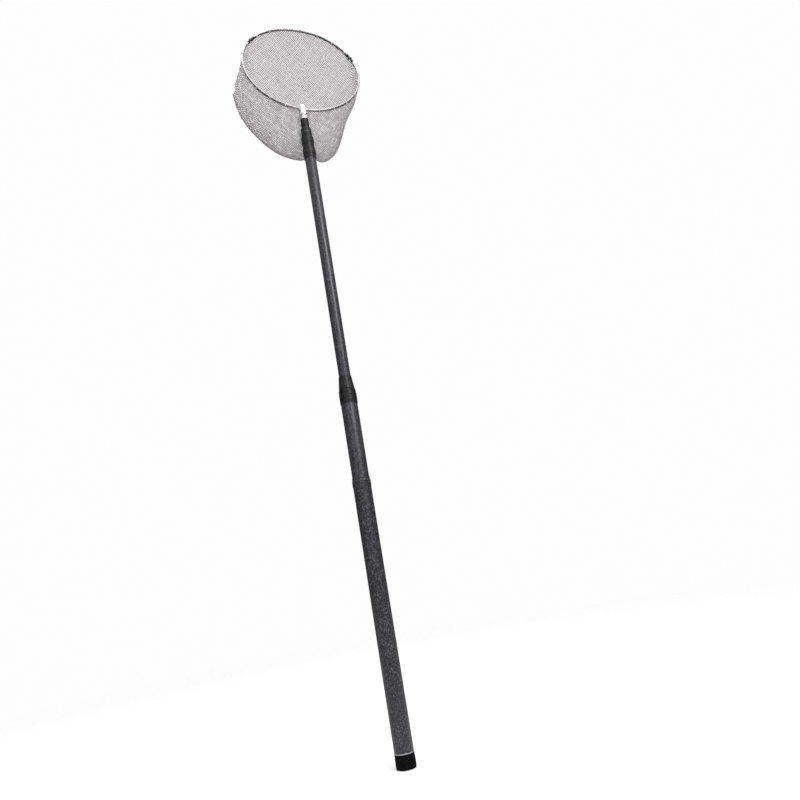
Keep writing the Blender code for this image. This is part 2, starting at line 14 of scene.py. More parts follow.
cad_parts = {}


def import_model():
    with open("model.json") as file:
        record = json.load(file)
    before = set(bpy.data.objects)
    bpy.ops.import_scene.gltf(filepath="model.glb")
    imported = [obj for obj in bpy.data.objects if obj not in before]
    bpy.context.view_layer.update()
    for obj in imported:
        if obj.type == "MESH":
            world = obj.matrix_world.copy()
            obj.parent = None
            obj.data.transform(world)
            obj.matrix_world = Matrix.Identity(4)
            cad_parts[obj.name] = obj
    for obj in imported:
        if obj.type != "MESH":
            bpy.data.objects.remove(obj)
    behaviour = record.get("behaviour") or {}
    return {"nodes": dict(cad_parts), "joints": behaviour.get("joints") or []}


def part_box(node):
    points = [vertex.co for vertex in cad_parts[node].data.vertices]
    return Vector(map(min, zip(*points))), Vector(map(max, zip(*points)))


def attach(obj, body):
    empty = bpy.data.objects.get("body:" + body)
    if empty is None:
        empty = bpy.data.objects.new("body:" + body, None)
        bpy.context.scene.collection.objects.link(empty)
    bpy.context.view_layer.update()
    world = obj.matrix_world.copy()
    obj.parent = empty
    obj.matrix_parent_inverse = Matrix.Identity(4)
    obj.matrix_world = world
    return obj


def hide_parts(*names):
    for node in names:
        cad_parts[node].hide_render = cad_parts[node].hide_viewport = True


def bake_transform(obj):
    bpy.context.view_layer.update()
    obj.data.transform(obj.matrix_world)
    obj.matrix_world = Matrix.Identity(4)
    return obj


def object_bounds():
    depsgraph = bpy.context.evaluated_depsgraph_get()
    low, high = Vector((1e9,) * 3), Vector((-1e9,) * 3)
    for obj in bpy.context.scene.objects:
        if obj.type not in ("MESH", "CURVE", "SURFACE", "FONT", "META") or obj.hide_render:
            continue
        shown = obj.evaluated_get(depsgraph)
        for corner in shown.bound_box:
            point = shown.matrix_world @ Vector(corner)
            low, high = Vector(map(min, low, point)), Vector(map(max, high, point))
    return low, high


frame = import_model()
cad_low, cad_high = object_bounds()

MM = 0.001

# ------------------------------------------------------------------ sizes that the CAD gives
WIRE_RADIUS = 2.5 * MM
LUG_GAP = 0.25 * MM
LUG_WIDTH = 3.8 * MM
LUG_BARREL_RADIUS = 4.0 * MM
LUG_SLEEVE_RADIUS = 3.5 * MM
LUG_SLEEVE_FROM = 7.0 * MM
LUG_SLEEVE_TO = 14.5 * MM
RIVET_HEAD_RADIUS = 2.7 * MM
WIRE_END = 8.0 * MM
HINGE_TURN = math.radians(120)
TANG_X = 6.8 * MM
TANG_BEND = math.radians(5.2)  # along the hoop, where it starts to bend down into a tang
TANG_BEND_DROP = 6.5 * MM
PIN_RADIUS = 1.4 * MM
FLANGE_RADIUS = 10.75 * MM
FLANGE_HEIGHT = 7.0 * MM
BLOCK_HALF_WIDTH = 7.5 * MM
BLOCK_HALF_DEPTH = 6.0 * MM
TOUCH_GAP = 0.3 * MM  # between pieces that rest on each other
CAP_BORE = 19.3 * MM
LOCK_BORE = 14.0 * MM
LOCK_SKIRT_BORE = 17.2 * MM
LOCK_NECK_RADIUS = 14.9 * MM
HOOP_FOOT_ABOVE_BLOCK = 8.5 * MM  # the block's top is this far above the hoop's lowest point

block_low, block_high = (np.array(corner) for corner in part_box("connector_block"))
FOOT = np.array([0.0, 0.0, block_high[2] - HOOP_FOOT_ABOVE_BLOCK])
fold_joint = next(joint for joint in frame["joints"] if joint["name"] == "hoop_fold")
PIVOT = np.array(fold_joint["pos_m"])
ACROSS = np.array(fold_joint["axis"]) / np.linalg.norm(fold_joint["axis"])
UP = (PIVOT - FOOT) / np.linalg.norm(PIVOT - FOOT)
BEHIND = np.cross(UP, ACROSS)
HOOP_RADIUS = np.linalg.norm(PIVOT - FOOT) / 1.5

# The bag's outline as its front and back panels meet in it, left to right as (x, height).
SEAM_Y = 0.052
SEAM_OUTLINE = np.array([
    (-0.158, 1.603),
    (-0.150, 1.552),
    (-0.120, 1.495),
    (-0.070, 1.443),
    (-0.012, 1.4205),
    (0.043, 1.4155),
    (0.078, 1.437),
    (0.100, 1.475),
    (0.122, 1.530),
    (0.152, 1.582),
    (0.170, 1.630),
])
NOTCH_X = 0.016
NOTCH_RISE = 0.017
NOTCH_WIDTH = 0.017
BULGE_BACK = 0.034
BULGE_FRONT = 0.026
POLE_CLEARANCE = 13.5 * MM  # of the front panel from the pole's axis, and how much more lower down
POLE_CLEARANCE_MORE = 9.0 * MM
CLEARANCE_WIDTH = 0.024

# Fine detail of the pole.
CAP_RIBS = 40
RIB_HEIGHT = 0.35 * MM
FLUTES = 24
FLUTE_DEPTH = 0.4 * MM
KNURL_TURNS = 18
KNURL_PITCH = 2200  # radians of spiral in a metre of height
KNURL_HEIGHT = 0.5 * MM
GROOVE_DEPTH = 0.45 * MM
GROOVE_REACH = 0.5 * MM
POLE_SIDES = 112

# The net: half a diamond's width and height, and its thread.
DIAMOND_HALF_WIDTH = 2.9 * MM
DIAMOND_HALF_HEIGHT = 3.3 * MM
THREAD_RADIUS = 0.80 * MM
FRONT_THREAD_RADIUS = 0.61 * MM
KNOT_OF_THREAD = 1.5  # a knot's radius as a share of its thread's
HEM_RADIUS = 0.7 * MM
EDGE_BEHIND = 3.9 * MM  # the net's edge behind the hoop's plane
EDGE_BEHIND_HARDWARE = 7.4 * MM  # and where it passes a hinge or the connector
SIDE_LASHINGS = [16, 32, 48, 64, 80, 96, 111]  # degrees from the pole, on both sides
FRONT_LASHINGS = [129, 146, 163, 180]
LASHING_RADIUS = 0.40 * MM
LASHING_TURNS = 4
LASHING_PITCH = 0.85 * MM

# The camera: where it stands, which way it looks and how it is rolled.
CAMERA_AT = Vector((-0.408, -1.605, 0.424))
CAMERA_HEADING = math.radians(18.25)  # to the right of +Y
CAMERA_PITCH = math.radians(11.64)  # upwards
CAMERA_ROLL = math.radians(9.78)
FIELD_OF_VIEW = math.radians(56.48)


# ------------------------------------------------------------------ meshes from arrays
def make_mesh(name, points, polygons, material, uvs=None):
    """A mesh from an (n, 3) array of points and a list of index arrays, one for each number of
    corners, with a UV array for each of them if the material follows the surface."""
    mesh = bpy.data.meshes.new(name)
    points = np.asarray(points, float).reshape(-1, 3)
    sizes = np.concatenate([np.full(len(group), group.shape[1]) for group in polygons])
    corners = np.concatenate([group.reshape(-1) for group in polygons]).astype(np.int32)
    mesh.vertices.add(len(points))
    mesh.vertices.foreach_set("co", points.astype(np.float32).reshape(-1))
    mesh.loops.add(len(corners))
    mesh.loops.foreach_set("vertex_index", corners)
    mesh.polygons.add(len(sizes))
    starts = np.concatenate([[0], np.cumsum(sizes)[:-1]]).astype(np.int32)
    mesh.polygons.foreach_set("loop_start", starts)
    mesh.polygons.foreach_set("use_smooth", np.ones(len(sizes), bool))
    if uvs is not None:
        layer = mesh.uv_layers.new(name="along_and_round")
        flat = np.concatenate([np.asarray(uv, np.float32).reshape(-1, 2) for uv in uvs])
        layer.data.foreach_set("uv", flat.reshape(-1))
    mesh.update(calc_edges=True)
    mesh.validate()
    made = bpy.data.objects.new(name, mesh)
    bpy.context.scene.collection.objects.link(made)
    mesh.materials.append(material)
    return made


def unit(vectors):
    return vectors / np.maximum(np.linalg.norm(vectors, axis=-1, keepdims=True), 1e-12)


def smooth_step(low, high, value):
    """0 below low and 1 above high, with 3t^2 - 2t^3 between."""
    t = np.clip((value - low) / (high - low), 0, 1)
    return t * t * (3 - 2 * t)


def rounded(outline):
    """(radius, height, fillet) corners made into (radius, height) points. A corner with a fillet
    becomes a parabola that starts and stops that far along its two sides."""
    outline = np.array(outline, float)
    points = []
    steps = np.linspace(0, 1, 6)[:, None]
    for before, corner, after in zip(np.roll(outline, 1, 0), outline, np.roll(outline, -1, 0)):
        if corner[2] == 0:
            points.append(corner[None, :2])
            continue
        start = corner[:2] + unit(before[:2] - corner[:2]) * corner[2]
        stop = corner[:2] + unit(after[:2] - corner[:2]) * corner[2]
        points.append(start * (1 - steps) ** 2 + corner[:2] * 2 * steps * (1 - steps) + stop * steps**2)
    return np.concatenate(points)


def turned(name, outline, material, sides, relief=None):
    """A surface of revolution round Z: (radius cos a, radius sin a, height) for each point of the
    outline and each angle a. relief(angle, radius, height) is added to the radius. An outline
    that starts and ends on the axis is closed there by single points."""
    path = rounded(outline)
    following = np.roll(path, -1, 0)
    if (path[:, 0] * following[:, 1] - following[:, 0] * path[:, 1]).sum() < 0:
        path = path[::-1]
    poles = path[:, 0] < 1e-9
    open_ended = bool(poles.any())
    if open_ended:
        first = int(np.nonzero(poles)[0][0])
        if not poles[(first + 1) % len(path)]:
            path = np.roll(path, -first, 0)
        else:
            path = np.roll(path, -(first + 1), 0)
    ring_path = path[1:-1] if open_ended else path
    angle = np.arange(sides) * 2 * math.pi / sides
    radius = np.repeat(ring_path[:, :1], sides, 1)
    height = np.repeat(ring_path[:, 1:], sides, 1)
    if relief is not None:
        radius = radius + relief(angle[None, :], radius, height)
    points = np.stack([radius * np.cos(angle), radius * np.sin(angle), height], -1)
    rows = len(ring_path)
    grid = np.arange(rows * sides).reshape(rows, sides)
    quads = strip_quads(grid, wrap_rows=not open_ended)
    points = points.reshape(-1, 3)
    groups = [quads]
    if open_ended:
        ends = np.array([(0, 0, path[0, 1]), (0, 0, path[-1, 1])])
        points = np.concatenate([points, ends])
        low, high = rows * sides, rows * sides + 1
        around, beyond = grid, np.roll(grid, -1, 1)
        under = np.stack([np.full(sides, low), beyond[0], around[0]], 1)
        over = np.stack([around[-1], beyond[-1], np.full(sides, high)], 1)
        groups.append(np.concatenate([under, over]))
    return make_mesh(name, points, groups, material)


def strip_quads(grid, wrap_rows=False):
    """Quads of a grid of point numbers that closes on itself along its second direction."""
    lower = grid if wrap_rows else grid[:-1]
    upper = np.roll(grid, -1, 0) if wrap_rows else grid[1:]
    corners = [lower, np.roll(lower, -1, 1), np.roll(upper, -1, 1), upper]
    return np.stack(corners, -1).reshape(-1, 4)


def tube_arrays(path, radius, normal, sides, closed=False):
    """A round tube along a path: path + radius (cos a N + sin a B), where N is the given normal
    made square to the path's direction T, and B is T x N. Open ends close in a half-round dome
    of a few more rings, whose radius is radius sqrt(1 - t^2)."""
    path = np.asarray(path, float)
    radius = np.broadcast_to(np.asarray(radius, float), len(path)).copy()
    normal = np.broadcast_to(np.asarray(normal, float), path.shape)
    if closed:
        tangent = unit(np.roll(path, -1, 0) - np.roll(path, 1, 0))
    else:
        tangent = unit(np.gradient(path, axis=0))
    if not closed:
        reach = np.sin(np.linspace(0.15, 1.45, 4))
        head = path[-1] + tangent[-1] * radius[-1] * reach[:, None]
        tail = path[0] - tangent[0] * radius[0] * reach[::-1, None]
        shrink = np.sqrt(1 - reach**2)
        path = np.concatenate([tail, path, head])
        normal = np.concatenate([np.repeat(normal[:1], 4, 0), normal, np.repeat(normal[-1:], 4, 0)])
        tangent = np.concatenate([np.repeat(tangent[:1], 4, 0), tangent, np.repeat(tangent[-1:], 4, 0)])
        radius = np.concatenate([radius[0] * shrink[::-1], radius, radius[-1] * shrink])
    side = unit(normal - tangent * (normal * tangent).sum(1, keepdims=True))
    other = np.cross(tangent, side)
    angle = np.arange(sides) * 2 * math.pi / sides
    ring = np.cos(angle)[None, :, None] * side[:, None] + np.sin(angle)[None, :, None] * other[:, None]
    points = path[:, None] + radius[:, None, None] * ring
    rows = len(path)
    grid = np.arange(rows * sides).reshape(rows, sides)
    groups = [strip_quads(grid, wrap_rows=closed)]
    if not closed:
        groups.append(np.stack([grid[0][::-1], grid[-1]]))
    length = np.concatenate([[0], np.cumsum(np.linalg.norm(np.diff(path, axis=0), axis=1))])
    if closed:
        length = np.append(length, length[-1] + np.linalg.norm(path[0] - path[-1]))
    else:
        length = np.append(length, length[-1])
    uvs = [tube_uv(rows if closed else rows - 1, sides, length)]
    if not closed:
        uvs.append(np.zeros((2, sides, 2)))
    return points.reshape(-1, 3), groups, uvs


def tube_uv(rows, sides, length):
    """UV corners of a tube's quads: metres along it, and turns round it."""
    row, column = np.meshgrid(np.arange(rows), np.arange(sides), indexing="ij")
    here, there = length[row], length[row + 1]
    near, far = column / sides, (column + 1) / sides
    corners = [(here, near), (here, far), (there, far), (there, near)]
    return np.stack([np.stack(corner, -1) for corner in corners], 2).reshape(-1, 4, 2)


def tube(name, path, radius, normal, material, sides):
    points, groups, uvs = tube_arrays(path, radius, normal, sides)
    return make_mesh(name, points, groups, material, uvs)


def gather(name, parts, material):
    """Several (points, polygons, uvs) shapes as one mesh."""
    shift, points, groups, uvs = 0, [], [], []
    for part_points, part_groups, part_uvs in parts:
        points.append(part_points)
        groups += [group + shift for group in part_groups]
        uvs += part_uvs
        shift += len(part_points)
    return make_mesh(name, np.concatenate(points), groups, material, uvs)


# ------------------------------------------------------------------ materials
def new_material(name, colour, roughness, metallic=0.0, specular=0.5):
    made = bpy.data.materials.new(name)
    made.use_nodes = True
    shader = made.node_tree.nodes["Principled BSDF"]
    shader.inputs["Base Color"].default_value = (*colour, 1)
    shader.inputs["Roughness"].default_value = roughness
    shader.inputs["Metallic"].default_value = metallic
    shader.inputs["Specular IOR Level"].default_value = specular
    return made, shader


def noise(tree, scale, detail=3.0, stretch=(1, 1, 1), source="Object"):
    """Noise on the object's own coordinates, or on its UV map."""
    where = tree.nodes.new("ShaderNodeTexCoord")
    mapping = tree.nodes.new("ShaderNodeMapping")
    mapping.inputs["Scale"].default_value = stretch
    texture = tree.nodes.new("ShaderNodeTexNoise")
    texture.inputs["Scale"].default_value = scale
    texture.inputs["Detail"].default_value = detail
    tree.links.new(where.outputs[source], mapping.inputs["Vector"])
    tree.links.new(mapping.outputs["Vector"], texture.inputs["Vector"])
    return texture.outputs["Fac"]


def ramp(tree, factor, stops):
    """A colour ramp through (place, colour) stops."""
    made = tree.nodes.new("ShaderNodeValToRGB")
    elements = made.color_ramp.elements
    while len(elements) < len(stops):
        elements.new(0.5)
    for element, (place, colour) in zip(elements, stops):
        element.position = place
        element.color = (*colour, 1)
    tree.links.new(factor, made.inputs["Fac"])
    return made.outputs["Color"]


def mixed(tree, factor, first, second):
    """Second over first by factor, as colours."""
    made = tree.nodes.new("ShaderNodeMix")
    made.data_type = "RGBA"
    tree.links.new(factor, made.inputs["Factor"])
    tree.links.new(first, made.inputs["A"])
    tree.links.new(second, made.inputs["B"])
    return made.outputs["Result"]


def ranged(tree, factor, low, high):
    """Noise, which mostly lies between 0.3 and 0.7, moved to low to high."""
    made = tree.nodes.new("ShaderNodeMapRange")
    made.inputs["From Min"].default_value = 0.3
    made.inputs["From Max"].default_value = 0.7
    made.inputs["To Min"].default_value = low
    made.inputs["To Max"].default_value = high
    tree.links.new(factor, made.inputs["Value"])
    return made.outputs["Result"]


def bump(tree, shader, height, strength, distance):
    made = tree.nodes.new("ShaderNodeBump")
    made.inputs["Strength"].default_value = strength
    made.inputs["Distance"].default_value = distance
    tree.links.new(height, made.inputs["Height"])
    tree.links.new(made.outputs["Normal"], shader.inputs["Normal"])


def speckled(name, dark, middle, light, grain, roughness, relief, specular):
    """A grainy moulded or coated surface: two grains of noise in the colour, a broad clouding
    over them, and the finer grain raised as bump."""
    made, shader = new_material(name, middle, roughness, 0.0, specular)
    tree = made.node_tree
    fine = noise(tree, grain, 4.0)
    flecks = ramp(tree, fine, [(0.32, dark), (0.50, middle), (0.66, light)])
    cloud = ramp(tree, noise(tree, 28, 3.0, (1, 1, 0.25)), [(0.35, dark), (0.68, middle)])
    share = ranged(tree, noise(tree, 60, 2.0), 0.10, 0.45)
    tree.links.new(mixed(tree, share, flecks, cloud), shader.inputs["Base Color"])
    tree.links.new(ranged(tree, fine, roughness - 0.10, roughness + 0.10), shader.inputs["Roughness"])
    bump(tree, shader, fine, 0.8, relief)
    return made


def metal(name, colour, roughness, streaks, source="Object", stretch=(1, 1, 1)):
    """Bright metal with fine drawn lines in its roughness and relief."""
    made, shader = new_material(name, colour, roughness, 1.0)
    tree = made.node_tree
    lines = noise(tree, streaks, 3.0, stretch, source)
    tree.links.new(ranged(tree, lines, roughness * 0.6, roughness * 1.5), shader.inputs["Roughness"])
    stain = ramp(tree, noise(tree, 45, 3.0), [(0.30, tuple(0.82 * c for c in colour)), (0.62, colour)])
    tree.links.new(stain, shader.inputs["Base Color"])
    bump(tree, shader, lines, 0.25, 0.00005)
    return made


def thread_with_painted_twist_shade(name, colour, turns_per_metre=900):
    """Twisted thread: diagonal ridges along the UV map, which is metres along and turns round, with
    painted shade in the grooves between them and a painted highlight on their crests, and a colour that
    varies from thread to thread."""
    made, shader = new_material(name, colour, 0.62, 0.0, 0.35)
    tree = made.node_tree
    where = tree.nodes.new("ShaderNodeTexCoord")
    mapping = tree.nodes.new("ShaderNodeMapping")
    mapping.inputs["Scale"].default_value = (turns_per_metre, 2.0, 1.0)
    tree.links.new(where.outputs["UV"], mapping.inputs["Vector"])
    twist = tree.nodes.new("ShaderNodeTexWave")
    twist.bands_direction = "DIAGONAL"
    twist.inputs["Scale"].default_value = 0.5
    tree.links.new(mapping.outputs["Vector"], twist.inputs["Vector"])
    paler = tuple(min(1.0, 1.22 * c) for c in colour)
    darker = tuple(0.72 * c for c in colour)
    tone = ramp(tree, noise(tree, 110, 3.0), [(0.34, darker), (0.50, colour), (0.66, paler)])
    # The twist's bands: painted shade in the grooves between the plies and a painted highlight on their
    # crests.
    shade = ramp(tree, twist.outputs["Fac"], [(0.0, darker), (0.8, paler)])
    share = ranged(tree, noise(tree, 20, 1.0), 0.25, 0.55)
    tree.links.new(mixed(tree, share, tone, shade), shader.inputs["Base Color"])
    bump(tree, shader, twist.outputs["Fac"], 0.6, 0.0001)
    return made


GRIP = speckled(
    "grip_foam",
    dark=(0.003, 0.003, 0.004),
    middle=(0.012, 0.012, 0.016),
    light=(0.110, 0.107, 0.125),
    grain=330,
    roughness=0.46,
    relief=0.0009,
    specular=0.44,
)
TUBE = speckled(
    "tube_coating",
    dark=(0.008, 0.008, 0.010),
    middle=(0.021, 0.021, 0.027),
    light=(0.110, 0.107, 0.128),
    grain=360,
    roughness=0.40,
    relief=0.0004,
    specular=0.50,
)
MOULDED = speckled(
    "moulded_black",
    dark=(0.002, 0.002, 0.003),
    middle=(0.006, 0.006, 0.007),
    light=(0.028, 0.027, 0.030),
    grain=500,
    roughness=0.42,
    relief=0.0002,
    specular=0.30,
)
CAP = speckled(
    "cap_rubber",
    dark=(0.001, 0.001, 0.001),
    middle=(0.002, 0.002, 0.002),
    light=(0.012, 0.012, 0.013),
    grain=400,
    roughness=0.80,
    relief=0.0004,
    specular=0.05,
)
FOAM = speckled(
    "bumper_foam",
    dark=(0.03, 0.03, 0.032),
    middle=(0.07, 0.07, 0.075),
    light=(0.12, 0.12, 0.13),
    grain=900,
    roughness=0.90,
    relief=0.0004,
    specular=0.2,
)
CHROME = metal("connector_plating", (0.93, 0.92, 0.93), 0.30, 300)
WIRE = metal("drawn_wire", (0.33, 0.325, 0.33), 0.30, 6.0, "UV", (4, 60, 1))
RING = metal("trim_bright", (0.34, 0.34, 0.36), 0.36, 900)
LINE = metal("ring_line", (0.14, 0.14, 0.145), 0.42, 900)
BRASS = metal("insert_brass", (0.72, 0.52, 0.24), 0.28, 700)
# The net's one thread in two tones: the back panel's copy is painted darker as painted shade, and the
# front panel's copy is painted lighter as painted light.
BACK_NET_PAINTED_SHADE = thread_with_painted_twist_shade("net_thread", (0.352, 0.308, 0.322))
FRONT_NET_PAINTED_LIGHT = thread_with_painted_twist_shade("front_net_thread_painted_light", (0.440, 0.412, 0.424))
CORD = thread_with_painted_twist_shade("hem_cord", (0.120, 0.116, 0.120), 500)
LASHING_THREAD = thread_with_painted_twist_shade("lashing_thread", (0.62, 0.60, 0.605), 700)


# ------------------------------------------------------------------ putting pieces on the frame
def place(piece, body, slot, *nodes):
    """The piece moves with a body and stands for CAD nodes, which it hides. The slot is not used."""
    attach(piece, body)
    if nodes:
        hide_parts(*nodes)
    return piece


def span(node):
    """A turned node's lowest and highest height, and its largest radius."""
    low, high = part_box(node)
    return low.z, high.z, high.x


def bore_over(tube_node):
    """The bore of a ring or sleeve that sits on a tube."""
    return span(tube_node)[2] + TOUCH_GAP


# ------------------------------------------------------------------ the pole
def butt_cap():
    """The rubber cap: a cup with CAP_RIBS fine upright ribs, RIB_HEIGHT (1 + cos(CAP_RIBS a)) / 2
    high and fading at the skirt's ends, and a shallow ring groove in its end face."""
    low, high, radius = span("butt_cap")
    wall = radius - RIB_HEIGHT
    inner_floor = low + 5.0 * MM

    def ribs(angle, radius, height):
        window = smooth_step(low + 2.5 * MM, low + 5 * MM, height)
        window = window * (1 - smooth_step(high - 8 * MM, high - 5 * MM, height))
        outside = radius > CAP_BORE + 0.8 * MM
        return outside * window * RIB_HEIGHT * (0.5 + 0.5 * np.cos(CAP_RIBS * angle))

    outline = [
        (0, low + 0.6 * MM, 0),
        (7 * MM, low + 0.6 * MM, 0.4 * MM),
        (8 * MM, low, 0.4 * MM),
        (12.5 * MM, low, 0.3 * MM),
        (13 * MM, low + 0.5 * MM, 0.2 * MM),
        (13.8 * MM, low + 0.5 * MM, 0.2 * MM),
        (14.3 * MM, low, 0.3 * MM),
        (wall, low, 2.8 * MM),
        (wall, low + 5 * MM, 0),
        (wall, low + 11 * MM, 0),
        (wall, high - 8 * MM, 0),
        (wall, high - 5.5 * MM, 0.3 * MM),
        (wall - 0.5 * MM, high - 5 * MM, 0.2 * MM),
        (wall - 0.5 * MM, high - 4.2 * MM, 0.2 * MM),
        (wall, high - 3.7 * MM, 0.3 * MM),
        (wall, high, 0.8 * MM),
        (CAP_BORE, high, 0.2 * MM),
        (CAP_BORE, inner_floor, 0),
        (0, inner_floor, 0),
    ]
    place(turned("rubber_butt_cap", outline, CAP, 240, ribs), "butt_cap", "black_plastic", "butt_cap")


def grip():
    """The grip sleeve: slim above, swelling towards the butt, with soft ends."""
    low, high, foot = span("grip_sleeve")
    bore = bore_over("butt_tube")
    slim = foot - 0.7 * MM
    outline = [
        (bore, low, 0),
        (foot, low, 1.0 * MM),
        (foot, low + 80 * MM, 30 * MM),
        (slim, high - 180 * MM, 60 * MM),
        (slim, high, 1.0 * MM),
        (bore, high, 0),
    ]
    place(turned("foam_grip", outline, GRIP, 128), "butt", "grip", "grip_sleeve")


def trim_ring():
    low, high, radius = span("trim_ring")
    bore = bore_over("butt_tube")
    outline = [
        (bore, low, 0.2 * MM),
        (radius, low, 0.8 * MM),
        (radius, high, 0.8 * MM),
        (bore, high, 0.2 * MM),
    ]
    place(turned("bright_trim_ring", outline, RING, 128), "butt", "trim_metal", "trim_ring")


def moulded_ring(name, node, tube_node, body, steps, grooves, material=MOULDED, slot="black_plastic"):
    """A ring on a tube. Its steps from below are (inset from the widest radius, start, stop, edge
    rounding), and its grooves are heights, all in millimetres above its foot. A height below zero
    is measured down from its top, and a stop of 0 is the top. Each groove is GROOVE_DEPTH
    exp(-(height / GROOVE_REACH)^2) deep."""
    low, high, widest = span(node)
    bore = bore_over(tube_node)
    outline = [(bore, low, 0)]
    for inset, start, stop, edge in steps:
        radius = widest - inset * MM
        start = (low if start >= 0 else high) + start * MM
        stop = (low if stop > 0 else high) + stop * MM
        outline.append((radius, start, edge * MM))
        count = max(2, int((stop - start) / (0.6 * MM)))
        for k in range(1, count):
            outline.append((radius, start + (stop - start) * k / count, 0))
        outline.append((radius, stop, edge * MM))
    outline.append((bore, high, 0))

    def relief(angle, radius, height):
        depth = 0 * height
        for groove in grooves:
            middle = (low if groove > 0 else high) + groove * MM
            depth = depth + GROOVE_DEPTH * np.exp(-(((height - middle) / GROOVE_REACH) ** 2))
        return -depth * (radius > bore + 0.3 * MM)

    place(turned(name, outline, material, POLE_SIDES, relief), body, slot, node)


def plain_tube(name, node, body, wall):
    """A coated tube with a softly broken edge at both ends."""
    low, high, radius = span(node)
    outline = [
        (radius - wall, low, 0.2 * MM),
        (radius, low, 0.4 * MM),
        (radius, high, 0.4 * MM),
        (radius - wall, high, 0.2 * MM),
    ]
    place(turned(name, outline, TUBE, POLE_SIDES), body, "pole_tube", node)


def bright_line(name, node, body, above_foot):
    """A thin bright inlay round a ring, whose section is an oval."""
    low, _, radius = span(node)
    half_height, half_depth = 0.45 * MM, 0.315 * MM
    turn = np.linspace(0, 2 * math.pi, 12, endpoint=False)
    middle = radius - 0.15 * MM
    outline = [
        (middle + half_depth * math.cos(t), low + above_foot + half_height * math.sin(t), 0) for t in turn
    ]
    place(turned(name, outline, LINE, POLE_SIDES), body, "trim_metal")


def lock_cone():
    """The twist collar: a cone with shallow flutes, cos^4(FLUTES a / 2) deep, that fade out
    towards its top, and a rounded lip below."""
    low, high, widest = span("lock_cone")
    height = high - low

    def flutes(angle, radius, z):
        share = (z - low) / height
        window = smooth_step(0.16, 0.26, share) * (1 - smooth_step(0.55, 0.85, share))
        outside = radius > 17.5 * MM - 2.9 * MM * np.clip((share - 0.1) / 0.8, 0, 1)
        return -FLUTE_DEPTH * outside * window * np.cos(FLUTES / 2 * angle) ** 4

    sweep = np.linspace(0, 1, 14)
    eased = 0.75 * sweep + 0.25 * (3 * sweep**2 - 2 * sweep**3)
    flank_r = widest - 0.2 * MM - (widest - LOCK_NECK_RADIUS - 0.2 * MM) * eased
    flank_z = low + 2.6 * MM + (height - 4.4 * MM) * sweep
    outline = [
        (LOCK_SKIRT_BORE, low, 0.2 * MM),
        (widest, low, 0.5 * MM),
        (widest, low + 2.2 * MM, 0.5 * MM),
    ]
    outline += [(r, z, 0) for r, z in zip(flank_r, flank_z)]
    outline += [
        (LOCK_NECK_RADIUS, high, 0.4 * MM),
        (LOCK_BORE, high, 0.2 * MM),
        (LOCK_BORE, high - 4.1 * MM, 0.2 * MM),
        (LOCK_NECK_RADIUS - 0.3 * MM, high - 6.6 * MM, 0),
        (LOCK_SKIRT_BORE - 0.3 * MM, low + 4.8 * MM, 0),
        (LOCK_SKIRT_BORE, low + 3.8 * MM, 0),
    ]
    collar = turned("twist_collar", outline, MOULDED, 240, flutes)
    place(collar, "lock_collar", "black_plastic", "lock_cone")


def lock_nut():
    """The knurled nut: crossed spirals |sin(n a + k z) sin(n a - k z)| raised on its band, n being
    KNURL_TURNS and k KNURL_PITCH."""
    low, high, widest = span("lock_nut")
    radius = widest - KNURL_HEIGHT

    def knurl(angle, reach, z):
        window = smooth_step(low + 0.8 * MM, low + 1.6 * MM, z)
        window = window * (1 - smooth_step(high - 1.6 * MM, high - 0.8 * MM, z))
        turn, spiral = KNURL_TURNS * angle, KNURL_PITCH * (z - low)
        crossed = np.abs(np.sin(turn + spiral) * np.sin(turn - spiral))
        return (reach > radius - 0.6 * MM) * window * KNURL_HEIGHT * crossed

    heights = np.linspace(low + 0.5 * MM, high - 0.5 * MM, 34)
    bore, chamfered = 4.5 * MM, radius - 0.5 * MM
    outline = [(bore, low, 0.2 * MM), (chamfered, low, 0)]
    outline += [(radius, z, 0) for z in heights]
    outline += [(chamfered, high, 0), (bore, high, 0.2 * MM)]
    nut = turned("knurled_nut", outline, CHROME, 288, knurl)
    place(nut, "lock_nut", "connector_chrome", "lock_nut")


def pole():
    butt_cap()
    grip()
    trim_ring()
    plain_tube("butt_section", "butt_tube", "butt", 1.5 * MM)
    bead = [(0.7, 0, 4.0, 0.5), (0, 4.8, -8.0, 1.2), (1.0, -5.5, 0, 0.8)]
    moulded_ring("grip_end_bead", "grip_end_ring", "butt_tube", "butt", bead, [-3.4], GRIP, "grip")
    base = [(0, 0, 22.0, 0.8), (0.5, 23.0, 0, 0.5)]
    moulded_ring("lock_base", "lock_base_ring", "butt_tube", "butt", base, [3.0, 5.5, 19.0])
    lock_cone()

    plain_tube("second_section", "stage2_tube", "stage_2", 1.1 * MM)
    second = [(0.9, 0, 9.5, 0.5), (0, 10.2, 0, 0.6)]
    moulded_ring("second_section_collar", "stage2_end_ring", "stage2_tube", "stage_2", second, [4.0, 22.0])
    bright_line("second_collar_line", "stage2_end_ring", "stage_2", 17.5 * MM)
    plain_tube("third_section", "stage3_tube", "stage_3", 0.9 * MM)
    third = [(1.3, 0, 14.2, 0.5), (0, 15.0, 0, 0.6)]
    grooves = [5.0, 19.0, 25.0]
    moulded_ring("third_section_collar", "stage3_end_ring", "stage3_tube", "stage_3", third, grooves)
    plain_tube("fourth_section", "stage4_tube", "stage_4", 0.8 * MM)
    fourth = [(0.8, 0, 4.9, 0.4), (0, 5.5, 0, 0.6)]
    moulded_ring("fourth_section_collar", "stage4_end_ring", "stage4_tube", "stage_4", fourth, [19.0])
    bright_line("fourth_collar_line", "stage4_end_ring", "stage_4", 14.0 * MM)
    plain_tube("tip_section", "tip_tube", "tip", 1.0 * MM)
    ferrule = [(0.8, 0, 6.7, 0.4), (0, 9.7, 0, 0.6)]
    moulded_ring("tip_collar", "tip_ferrule", "tip_tube", "tip", ferrule, [-4.0])
    lock_nut()


